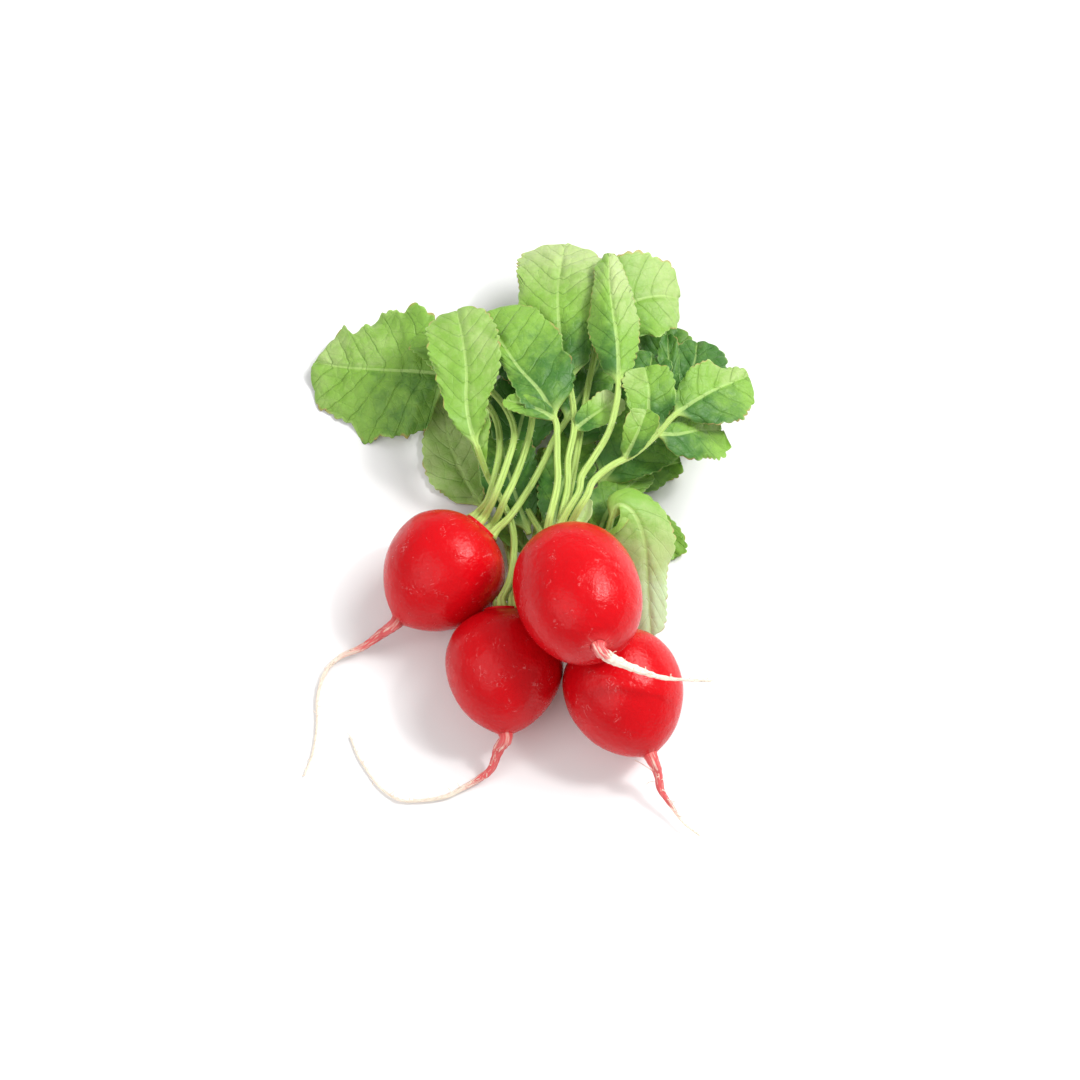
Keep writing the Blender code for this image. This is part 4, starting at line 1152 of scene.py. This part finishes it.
def vein_group():
    """Side veins and the fine net between them, as masks."""
    tree, given, out = new_group("Leaf veins", [("Vector", "Veins", None),
                                                ("Vector", "Blade", None),
                                                ("Float", "Rib width", 0.0008)],
                                 ["Side", "Net", "Rib", "Margin", "Bulge"])
    place_on = tree.add("ShaderNodeSeparateXYZ", None, Vector=given["Veins"]).outputs
    flat = tree.add("ShaderNodeSeparateXYZ", None, Vector=given["Blade"]).outputs
    bend = tree.times(tree.minus(tree.noise(given["Blade"], 260.0, 1.0), 0.5), 0.22)
    phase = tree.math("FRACT", tree.plus(tree.plus(place_on[0], bend), 0.5))
    away = tree.math("ABSOLUTE", tree.minus(phase, 0.5))
    thin = tree.plus(0.028, tree.times(tree.minus(1.0, place_on[1]), 0.055))
    tree.put(out["Side"], tree.span(away, 0.0, thin, 1.0, 0.0))
    net = tree.add("ShaderNodeTexVoronoi", {"feature": "DISTANCE_TO_EDGE"}, Vector=given["Blade"],
                   Scale=300.0)
    fine = tree.add("ShaderNodeTexVoronoi", {"feature": "DISTANCE_TO_EDGE"}, Vector=given["Blade"],
                    Scale=950.0)
    wide_net = tree.span(net.outputs["Distance"], 0.0, 0.05, 1.0, 0.0)
    fine_net = tree.span(fine.outputs["Distance"], 0.0, 0.09, 0.5, 0.0)
    tree.put(out["Bulge"], tree.span(net.outputs["Distance"], 0.0, 0.35))
    tree.put(out["Net"], tree.math("MAXIMUM", wide_net, fine_net))
    tree.put(out["Rib"], tree.span(tree.math("ABSOLUTE", flat[0]), tree.times(given["Rib width"], 0.5),
                                   given["Rib width"], 1.0, 0.0))
    tree.put(out["Margin"], tree.span(place_on[1], 0.95, 0.995))
    return tree.tree


def shared(name):
    """A shader group that is built once, the first time that it is asked for."""
    makers = {"Mottle": mottle_group, "Specks": speck_group, "Leaf veins": vein_group}
    return bpy.data.node_groups.get(name) or makers[name]()


def use_group(tree, name, **inputs):
    """The outputs of a shared shader group."""
    node = tree.tree.nodes.new("ShaderNodeGroup")
    node.node_tree = shared(name)
    for key, value in inputs.items():
        tree.put(node.inputs[key.replace("_", " ")], value)
    return node.outputs


def new_material(name):
    material = bpy.data.materials.new(name)
    material.use_nodes = True
    tree = Tree(material.node_tree)
    shader = material.node_tree.nodes["Principled BSDF"]
    place_on = tree.add("ShaderNodeTexCoord").outputs["Object"]
    return material, tree, shader, place_on


def bump(tree, shader, height, distance):
    """Fine relief in the material, of the given depth in metres."""
    node = tree.add("ShaderNodeBump", None, Height=height, Distance=distance, Strength=0.7)
    tree.put(shader.inputs["Normal"], node.outputs[0])


def soften(shader, specular, weight, scale, radius):
    """How strongly a surface shines, and how light spreads under it."""
    for key, value in (("Specular IOR Level", specular), ("Subsurface Weight", weight),
                       ("Subsurface Scale", scale), ("Subsurface Radius", radius)):
        shader.inputs[key].default_value = value


def skin_material(settings):
    """Thin glossy red skin with scuffs, which runs out into a streaked cream tail."""
    material, tree, shader, place_on = new_material("Radish skin")
    blush, crown, tail = (tree.attribute(key) for key in ("blush", "crown", "tail"))
    patches = use_group(tree, "Mottle", Vector=place_on, Scale=60.0, Contrast=1.6)["Value"]
    clouds = use_group(tree, "Mottle", Vector=place_on, Scale=420.0, Contrast=1.2)["Value"]
    red = tree.mix(tree.plus(0.45, tree.times(patches, 0.55)), settings.skin_deep,
                   settings.skin)
    red = tree.mix(tree.times(clouds, 0.25), red, settings.skin_deep)
    # scuffs are small patches and threads where the skin is rubbed pink
    skin_map = tree.add("ShaderNodeUVMap", {"uv_map": "skin"}).outputs[0]
    rubbed = tree.span(tree.noise(place_on, 130.0, 3.0, 0.6, 0.8), 0.56, 0.68)
    threads = tree.span(tree.noise(place_on, 620.0, 5.0, 0.72, 1.6), 0.54, 0.64)
    marks = tree.stretched(skin_map, 5200.0, 330.0)
    lines = tree.span(tree.noise(marks, 1.0, 3.0, 0.6, 1.0), 0.60, 0.70)
    rubbed_lines = tree.span(tree.noise(place_on, 100.0, 2.0, 0.5, 0.4), 0.55, 0.66)
    scuffs = tree.math("MAXIMUM", tree.times(rubbed, threads),
                       tree.times(lines, rubbed_lines, 0.6))
    red = tree.mix(tree.times(scuffs, 0.55), red, settings.scuff)
    dots = use_group(tree, "Specks", Vector=place_on, Scale=620.0, Size=0.13, Share=0.05)["Mask"]
    red = tree.mix(tree.times(dots, 0.4), red, settings.scuff)
    # the tail: cream streaks push through the red, and take over where the blush ends
    streaked = tree.stretched(skin_map, 1000.0, 210.0)
    streaks = tree.span(tree.noise(streaked, 1.0, 4.0, 0.65, 0.8), 0.42, 0.66)
    pale = tree.plus(tree.minus(1.0, blush), tree.times(streaks, 0.62))
    pale = tree.times(tree.span(pale, 0.15, 0.9), tail)
    tail_red = tree.mix(0.50, red, settings.scuff)
    body = tree.mix(tail, red, tail_red)
    body = tree.mix(pale, body, settings.tail)
    collar = tree.mix(tree.noise(place_on, 700.0, 2.0), settings.stalk_blush, settings.stalk)
    body = tree.mix(tree.times(crown, 0.6), body, collar)
    tree.put(shader.inputs["Base Color"], body)
    dull = tree.plus(0.17, tree.times(clouds, 0.12))
    dull = tree.plus(dull, tree.times(scuffs, 0.25))
    tree.put(shader.inputs["Roughness"], tree.math("ADD", dull, tree.times(tail, 0.25), clamp=True))
    soften(shader, 0.17, 0.05, 0.002, (1.0, 0.15, 0.1))
    grain = tree.plus(tree.times(tree.noise(place_on, 1300.0, 3.0, 0.6), 0.35),
                      tree.times(tree.noise(place_on, 380.0, 3.0, 0.55), 1.0))
    grain = tree.plus(grain, tree.times(streaks, tail, 0.4))
    grain = tree.plus(grain, tree.times(scuffs, 0.25))
    bump(tree, shader, grain, 0.0004)
    return material


def leaf_material(name, settings):
    """A soft leaf: patchy green by its tone (partly painted shade), fine veins, a mint underside and a
    yellow-green stalk.
    """
    material, tree, shader, place_on = new_material(name)
    blade_map = tree.add("ShaderNodeUVMap", {"uv_map": "blade"}).outputs[0]
    vein_map = tree.add("ShaderNodeUVMap", {"uv_map": "veins"}).outputs[0]
    stalk, under, foot, tone, along, relief = (tree.attribute(key) for key in (
        "stalk", "under", "foot", "tone", "along", "relief"))
    rib_width = tree.plus(0.00022, tree.times(tree.minus(1.0, along), 0.0006))
    lines = use_group(tree, "Leaf veins", Veins=vein_map, Blade=blade_map, Rib_width=rib_width)
    patches = use_group(tree, "Mottle", Vector=place_on, Scale=75.0, Contrast=1.8)["Value"]
    clouds = use_group(tree, "Mottle", Vector=place_on, Scale=330.0, Contrast=1.2)["Value"]
    # the patches and clouds are the leaf's own uneven green and also painted soft shade of its folds
    tone = tree.plus(tone, tree.times(tree.minus(patches, 0.5), 0.42))
    tone = tree.plus(tone, tree.times(tree.minus(clouds, 0.5), 0.22))
    tone = tree.plus(tone, tree.times(under, 0.45))
    # low tones run to the deep green: partly the leaf's own dark green, partly painted shade deep in the
    # bunch
    green = tree.mix(tree.span(tone, 0.0, 0.5), settings.leaf_deep, settings.leaf)
    green = tree.mix(tree.span(tone, 0.45, 1.05), green, settings.leaf_pale)
    green = tree.mix(tree.span(tone, 1.0, 1.5), green, settings.mint)
    # veins are sunk and a little darker on top; the midrib is pale where it leaves the stalk
    darker = tree.mix(tree.span(tone, 0.7, 1.4, 0.34, 0.07), green, settings.leaf_deep)
    faint = tree.span(tree.noise(blade_map, 210.0, 2.0), 0.35, 0.62, 0.2, 0.75)
    green = tree.mix(tree.times(lines["Net"], tree.times(faint, 0.25)), green, darker)
    green = tree.mix(tree.times(lines["Side"], faint), green, darker)
    paler = tree.mix(tree.times(along, 0.55), settings.vein, green)
    green = tree.mix(tree.times(lines["Rib"], 0.7), green, paler)
    rim = tree.times(lines["Margin"], tree.span(tree.noise(place_on, 170.0, 2.0), 0.35, 0.6))
    green = tree.mix(tree.times(rim, 0.45), green, settings.vein)
    rust = tree.times(lines["Margin"], tree.span(tree.noise(place_on, 210.0, 2.0), 0.5, 0.6))
    green = tree.mix(tree.times(rust, 0.55), green, settings.stalk_blush)
    dots = use_group(tree, "Specks", Vector=place_on, Scale=420.0, Size=0.12, Share=0.04)["Mask"]
    green = tree.mix(tree.times(dots, 0.6), green, settings.leaf_deep)
    # the stalk, with pink-brown threads towards its foot
    stretched = tree.stretched(blade_map, 2600.0, 120.0)
    threads = tree.span(tree.noise(stretched, 1.0, 3.0, 0.6), 0.4, 0.65)
    stem = tree.mix(tree.times(threads, 0.4), settings.stalk, settings.vein)
    blushed = tree.times(threads, foot, 0.35)
    stem = tree.mix(blushed, stem, settings.stalk_blush)
    tree.put(shader.inputs["Base Color"], tree.mix(stalk, green, stem))
    dull = tree.plus(0.42, tree.times(clouds, 0.14))
    tree.put(shader.inputs["Roughness"], tree.plus(dull, tree.times(under, 0.1)))
    soften(shader, 0.35, 0.10, 0.001, (0.6, 1.0, 0.25))
    height = tree.plus(tree.times(lines["Side"], -1.0), tree.times(lines["Net"], -0.4))
    height = tree.plus(height, tree.times(lines["Bulge"], 0.7))
    height = tree.times(height, relief, tree.minus(1.0, stalk))
    height = tree.plus(height, tree.times(tree.noise(place_on, 1200.0, 3.0), 0.6))
    height = tree.plus(height, tree.times(threads, stalk, 0.8))
    bump(tree, shader, height, 0.0002)
    return material


def hair_material(name, base, roughness):
    """Thin hairs, a little lighter and darker by turns."""
    material, tree, shader, place_on = new_material(name)
    share = tree.noise(place_on, 900.0, 2.0)
    tint = tree.mix(share, [part * 0.75 for part in base], base)
    tree.put(shader.inputs["Base Color"], tint)
    tree.put(shader.inputs["Roughness"], tree.plus(roughness, tree.times(share, 0.15)))
    return material


# ---------------------------------------------------------------- scattered pieces

def scatter_tree(name, inputs):
    """A geometry tree with named inputs, and its two ends."""
    group = bpy.data.node_groups.new(name, "GeometryNodeTree")
    group.interface.new_socket("Geometry", in_out="INPUT", socket_type="NodeSocketGeometry")
    add_inputs(group, inputs)
    group.interface.new_socket("Geometry", in_out="OUTPUT", socket_type="NodeSocketGeometry")
    return tree_ends(group)


def scattered_piece(name, source, group, values, material, slot):
    """Runs a scatter tree over a mesh and keeps the result as a plain piece."""
    item = bpy.data.objects.new(f"{name}_source", source)
    bpy.context.collection.objects.link(item)
    modifier = item.modifiers.new(name, "NODES")
    modifier.node_group = group
    for socket in group.interface.items_tree:
        if socket.in_out == "INPUT" and socket.name in values:
            modifier[socket.identifier] = values[socket.name]
    graph = bpy.context.evaluated_depsgraph_get()
    mesh = bpy.data.meshes.new_from_object(item.evaluated_get(graph))
    bpy.data.objects.remove(item, do_unlink=True)
    mesh.name = name
    for vertex in mesh.vertices:
        vertex.co.z = max(vertex.co.z, TABLE_GAP * MM)
    mesh.shade_smooth()
    return place(name, [mesh], material, slot)


def random_turn(tree, given, lean):
    """A random turn about its own axis, leaning up to the given angle each way."""
    node = tree.add("FunctionNodeRandomValue", {"data_type": "FLOAT_VECTOR"}, Seed=given["Seed"])
    node.inputs[0].default_value, node.inputs[1].default_value = (-lean, -lean, 0.0), (lean, lean, 6.28)
    return node.outputs[0]


def random_size(tree, given, least, most):
    node = tree.add("FunctionNodeRandomValue", {"data_type": "FLOAT"}, Seed=given["Seed"])
    node.inputs[2].default_value, node.inputs[3].default_value = least, most
    return node.outputs[1]


def bristle_tree():
    """Short tapered bristles scattered over the stalks, each leaning a little at random."""
    tree, given, out = scatter_tree("Bristles", [
        ("Float", "Density", 1.0), ("Float", "Length", 0.001),
        ("Float", "Thickness", 0.00005), ("Int", "Seed", 0),
        ("Material", "Material", None)])
    stalk = tree.add("GeometryNodeInputNamedAttribute", {"data_type": "FLOAT"}, Name="stalk").outputs[0]
    spread = tree.add("GeometryNodeDistributePointsOnFaces", None, Mesh=given["Geometry"],
                      Density=tree.times(given["Density"], stalk), Seed=given["Seed"])
    cone = tree.add("GeometryNodeMeshCone", None, Vertices=5, Side_Segments=1, Fill_Segments=1,
                    Radius_Top=0.0,
                    Radius_Bottom=given["Thickness"], Depth=given["Length"])
    tilt = random_turn(tree, given, 0.5)
    turned = tree.add("FunctionNodeRotateRotation", {"rotation_space": "LOCAL"},
                      Rotation=spread.outputs["Rotation"],
                      Rotate_By=tilt)
    size = random_size(tree, given, 0.5, 1.3)
    on_points = tree.add("GeometryNodeInstanceOnPoints", None, Points=spread.outputs["Points"],
                         Instance=cone.outputs["Mesh"], Rotation=turned.outputs[0], Scale=size)
    real = tree.add("GeometryNodeRealizeInstances", None, Geometry=on_points.outputs[0])
    painted = tree.add("GeometryNodeSetMaterial", None, Geometry=real.outputs[0], Material=given["Material"])
    tree.put(out["Geometry"], painted.outputs[0])
    return tree.tree


def rootlet_tree():
    """Fine curling hairs along a tail's path."""
    tree, given, out = scatter_tree("Rootlets", [
        ("Float", "Spacing", 0.001), ("Float", "Length", 0.003),
        ("Float", "Thickness", 0.00011), ("Int", "Seed", 0),
        ("Material", "Material", None)])
    path = tree.add("GeometryNodeMeshToCurve", None, Mesh=given["Geometry"])
    even = tree.add("GeometryNodeResampleCurve", {"mode": "LENGTH"}, Curve=path.outputs[0],
                    Length=given["Spacing"])
    # one hair: a bent line, given thickness after it is scattered
    middle = tree.add("ShaderNodeCombineXYZ", None, X=tree.times(given["Length"], 0.35),
                      Z=tree.times(given["Length"], 0.55)).outputs[0]
    tip = tree.add("ShaderNodeCombineXYZ", None, X=tree.times(given["Length"], 0.75),
                   Y=tree.times(given["Length"], 0.3),
                   Z=tree.times(given["Length"], 0.6)).outputs[0]
    hair = tree.add("GeometryNodeCurveQuadraticBezier", None, Resolution=6, Middle=middle, End=tip)
    hair.inputs["Start"].default_value = (0.0, 0.0, 0.0)
    spin = random_turn(tree, given, 1.9)
    size = random_size(tree, given, 0.25, 1.1)
    own = tree.add("GeometryNodeInputNamedAttribute", {"data_type": "FLOAT"}, Name="hairs").outputs[0]
    long = tree.times(size, own)
    on_points = tree.add("GeometryNodeInstanceOnPoints", None, Points=even.outputs[0],
                         Instance=hair.outputs[0], Rotation=spin, Scale=long)
    real = tree.add("GeometryNodeRealizeInstances", None, Geometry=on_points.outputs[0])
    ring = tree.add("GeometryNodeCurvePrimitiveCircle", None, Resolution=5, Radius=given["Thickness"])
    along = tree.add("GeometryNodeSplineParameter").outputs["Factor"]
    taper = tree.minus(1.0, tree.times(along, 0.75))
    thick = tree.add("GeometryNodeSetCurveRadius", None, Curve=real.outputs[0], Radius=taper)
    solid = tree.add("GeometryNodeCurveToMesh", None, Curve=thick.outputs[0], Profile_Curve=ring.outputs[0])
    solid.inputs["Fill Caps"].default_value = True
    painted = tree.add("GeometryNodeSetMaterial", None, Geometry=solid.outputs[0], Material=given["Material"])
    tree.put(out["Geometry"], painted.outputs[0])
    return tree.tree


# ---------------------------------------------------------------- operators

LEAF_SEEDS = {name: number + 1 for number, name in enumerate(list(LEAVES) + list(SMALL_LEAVES))}
PALE_LEAVES = ("leaf_middle_pale", "leaf_right_pale", "leaf_top_scrap")


def make_leaves(settings, names, material, slot):
    laid, shift = lay_leaves(), bunch_shift()
    for name in names:
        make_leaf(name, laid[name], settings, LEAF_SEEDS[name], shift, material, slot)


def pieces_named(start):
    return [item for item in bpy.data.objects if item.type == "MESH" and item.name.startswith(start)]


def merged_copy(name, items):
    """One mesh from several pieces, with their attributes."""
    copies = []
    for item in items:
        copy = bpy.data.objects.new(f"{name}_part", item.data.copy())
        bpy.context.collection.objects.link(copy)
        copies.append(copy)
    with bpy.context.temp_override(active_object=copies[0], selected_editable_objects=copies):
        bpy.ops.object.join()
    mesh = copies[0].data
    bpy.data.objects.remove(copies[0], do_unlink=True)
    return mesh


class Step:
    """What every step's operator does: build, and report that it has."""

    def execute(self, context):
        self.build(context, context.scene.bunch)
        return {"FINISHED"}


class RADISH_OT_roots(Step, bpy.types.Operator):
    """Make the four radishes with their tails"""
    bl_idname = "radish.roots"
    bl_label = "Radishes"

    def build(self, context, settings):
        material = skin_material(settings)
        for name, root in ROOTS.items():
            make_root(name, root, material)


class RADISH_OT_green_leaves(Step, bpy.types.Operator):
    """Make the green leaves"""
    bl_idname = "radish.green_leaves"
    bl_label = "Green leaves"

    def build(self, context, settings):
        names = [name for name in LEAVES if name not in PALE_LEAVES]
        make_leaves(settings, names, leaf_material("Green leaf", settings), "leaf_green")


class RADISH_OT_pale_leaves(Step, bpy.types.Operator):
    """Make the pale young leaves"""
    bl_idname = "radish.pale_leaves"
    bl_label = "Pale leaves"

    def build(self, context, settings):
        make_leaves(settings, PALE_LEAVES, leaf_material("Pale leaf", settings), "leaf_pale")


class RADISH_OT_small_leaves(Step, bpy.types.Operator):
    """Make the small leaves that fill the middle of the bunch"""
    bl_idname = "radish.small_leaves"
    bl_label = "Small leaves"

    def build(self, context, settings):
        material, shift = leaf_material("Small leaf", settings), bunch_shift()
        for name, sheet in lay_small_leaves(lay_leaves()).items():
            make_leaf(name, [sheet], settings, LEAF_SEEDS[name], shift, material, "leaf_green", True)


class RADISH_OT_bristles(Step, bpy.types.Operator):
    """Scatter short bristles over the stalks"""
    bl_idname = "radish.bristles"
    bl_label = "Stalk bristles"

    def build(self, context, settings):
        material = hair_material("Bristle", [0.75, 0.82, 0.55], 0.5)
        source = merged_copy("stalks", pieces_named("foliage_"))
        scattered_piece("stalk_bristles", source, bristle_tree(),
                        {"Density": settings.bristle_density, "Length": settings.bristle_length,
                         "Seed": settings.seed, "Material": material}, material, "leaf_green")


class RADISH_OT_rootlets(Step, bpy.types.Operator):
    """Scatter fine curling rootlets along the tails"""
    bl_idname = "radish.rootlets"
    bl_label = "Tail rootlets"

    def build(self, context, settings):
        material = hair_material("Rootlet", settings.tail, 0.55)
        shift = bunch_shift()
        verts, edges, hairs = [], [], []
        for root in ROOTS.values():
            curve, along = smooth_path(root["tail"], 6)
            first = len(verts)
            verts += [tuple(point * MM) for point in curve + shift]
            edges += [(first + step, first + step + 1) for step in range(len(curve) - 1)]
            part = along / along[-1]
            hairs += list(np.interp(part, (0.0, 0.3, 1.0), root["hairs"]))
        source = bpy.data.meshes.new("tail_paths")
        source.from_pydata(verts, edges, [])
        lengths = source.attributes.new("hairs", "FLOAT", "POINT")
        lengths.data.foreach_set("value", np.array(hairs, np.float32))
        scattered_piece("tail_rootlets", source, rootlet_tree(),
                        {"Spacing": settings.rootlet_spacing, "Length": settings.rootlet_length,
                         "Seed": settings.seed, "Material": material}, material, "root_skin")


class RADISH_OT_stage(Step, bpy.types.Operator):
    """Make the floor, the soft lights and the camera"""
    bl_idname = "radish.stage"
    bl_label = "Stage"

    def build(self, context, settings):
        stage = context.scene.radish_stage
        floor = bpy.data.meshes.new("floor")
        corners = [(x * FLOOR_REACH, y * FLOOR_REACH, 0) for x, y in ((-1, -1), (1, -1), (1, 1), (-1, 1))]
        floor.from_pydata(corners, [], [(0, 1, 2, 3)])
        item = bpy.data.objects.new("floor", floor)
        context.collection.objects.link(item)
        material, tree, shader, place_on = new_material("Pale table")
        shade = tree.noise(place_on, 3.0, 3.0)
        tree.put(shader.inputs["Base Color"], tree.mix(shade, DARK_FLOOR, PALE_FLOOR))
        shader.inputs["Roughness"].default_value = 0.8
        floor.materials.append(material)
        world = bpy.data.worlds.new("Even light")
        world.use_nodes = True
        light = world.node_tree.nodes["Background"].inputs
        light["Color"].default_value = (1.0, 1.0, 1.0, 1.0)
        light["Strength"].default_value = stage.sky
        context.scene.world = world
        aim = Vector(stage.aim)
        for name, (place_at, size) in LAMPS.items():
            light = bpy.data.lights.new(name, "AREA")
            light.shape, light.size, light.energy = "SQUARE", size, getattr(stage, name)
            lamp = bpy.data.objects.new(name, light)
            lamp.location = place_at
            lamp.rotation_euler = (aim - lamp.location).to_track_quat("-Z", "Y").to_euler()
            context.collection.objects.link(lamp)
        lens = bpy.data.cameras.new("camera")
        lens.lens, lens.sensor_width, lens.clip_start = stage.lens, SENSOR, 0.01
        camera = bpy.data.objects.new("camera", lens)
        back = Vector((0.0, -math.cos(stage.elevation), math.sin(stage.elevation)))
        camera.location = aim + back * stage.distance
        camera.rotation_euler = (-back).to_track_quat("-Z", "Y").to_euler()
        context.collection.objects.link(camera)
        context.scene.camera = camera
        context.scene.view_settings.view_transform = "Standard"


class RADISH_PT_panel(bpy.types.Panel):
    """Sizes, colours and steps of the bunch"""
    bl_label = "Bunch of radishes"
    bl_idname = "RADISH_PT_panel"
    bl_space_type = "VIEW_3D"
    bl_region_type = "UI"
    bl_category = "Radishes"

    def draw(self, context):
        for settings in (context.scene.bunch, context.scene.radish_stage):
            column = self.layout.column()
            for key in settings.bl_rna.properties.keys():
                if key not in ("rna_type", "name"):
                    column.prop(settings, key)
        for operator in OPERATORS:
            self.layout.operator(operator.bl_idname)


OPERATORS = (RADISH_OT_roots, RADISH_OT_green_leaves, RADISH_OT_pale_leaves, RADISH_OT_small_leaves,
             RADISH_OT_bristles, RADISH_OT_rootlets, RADISH_OT_stage)
CLASSES = (BunchSettings, StageSettings, RADISH_PT_panel) + OPERATORS


def register():
    for item in CLASSES:
        bpy.utils.register_class(item)
    bpy.types.Scene.bunch = PointerProperty(type=BunchSettings)
    bpy.types.Scene.radish_stage = PointerProperty(type=StageSettings)


def unregister():
    del bpy.types.Scene.bunch
    del bpy.types.Scene.radish_stage
    for item in reversed(CLASSES):
        bpy.utils.unregister_class(item)


def main():
    register()
    for step in ("roots", "green_leaves", "pale_leaves", "small_leaves", "bristles", "rootlets", "stage"):
        getattr(bpy.ops.radish, step)()
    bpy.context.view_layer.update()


if __name__ == "__main__":
    main()
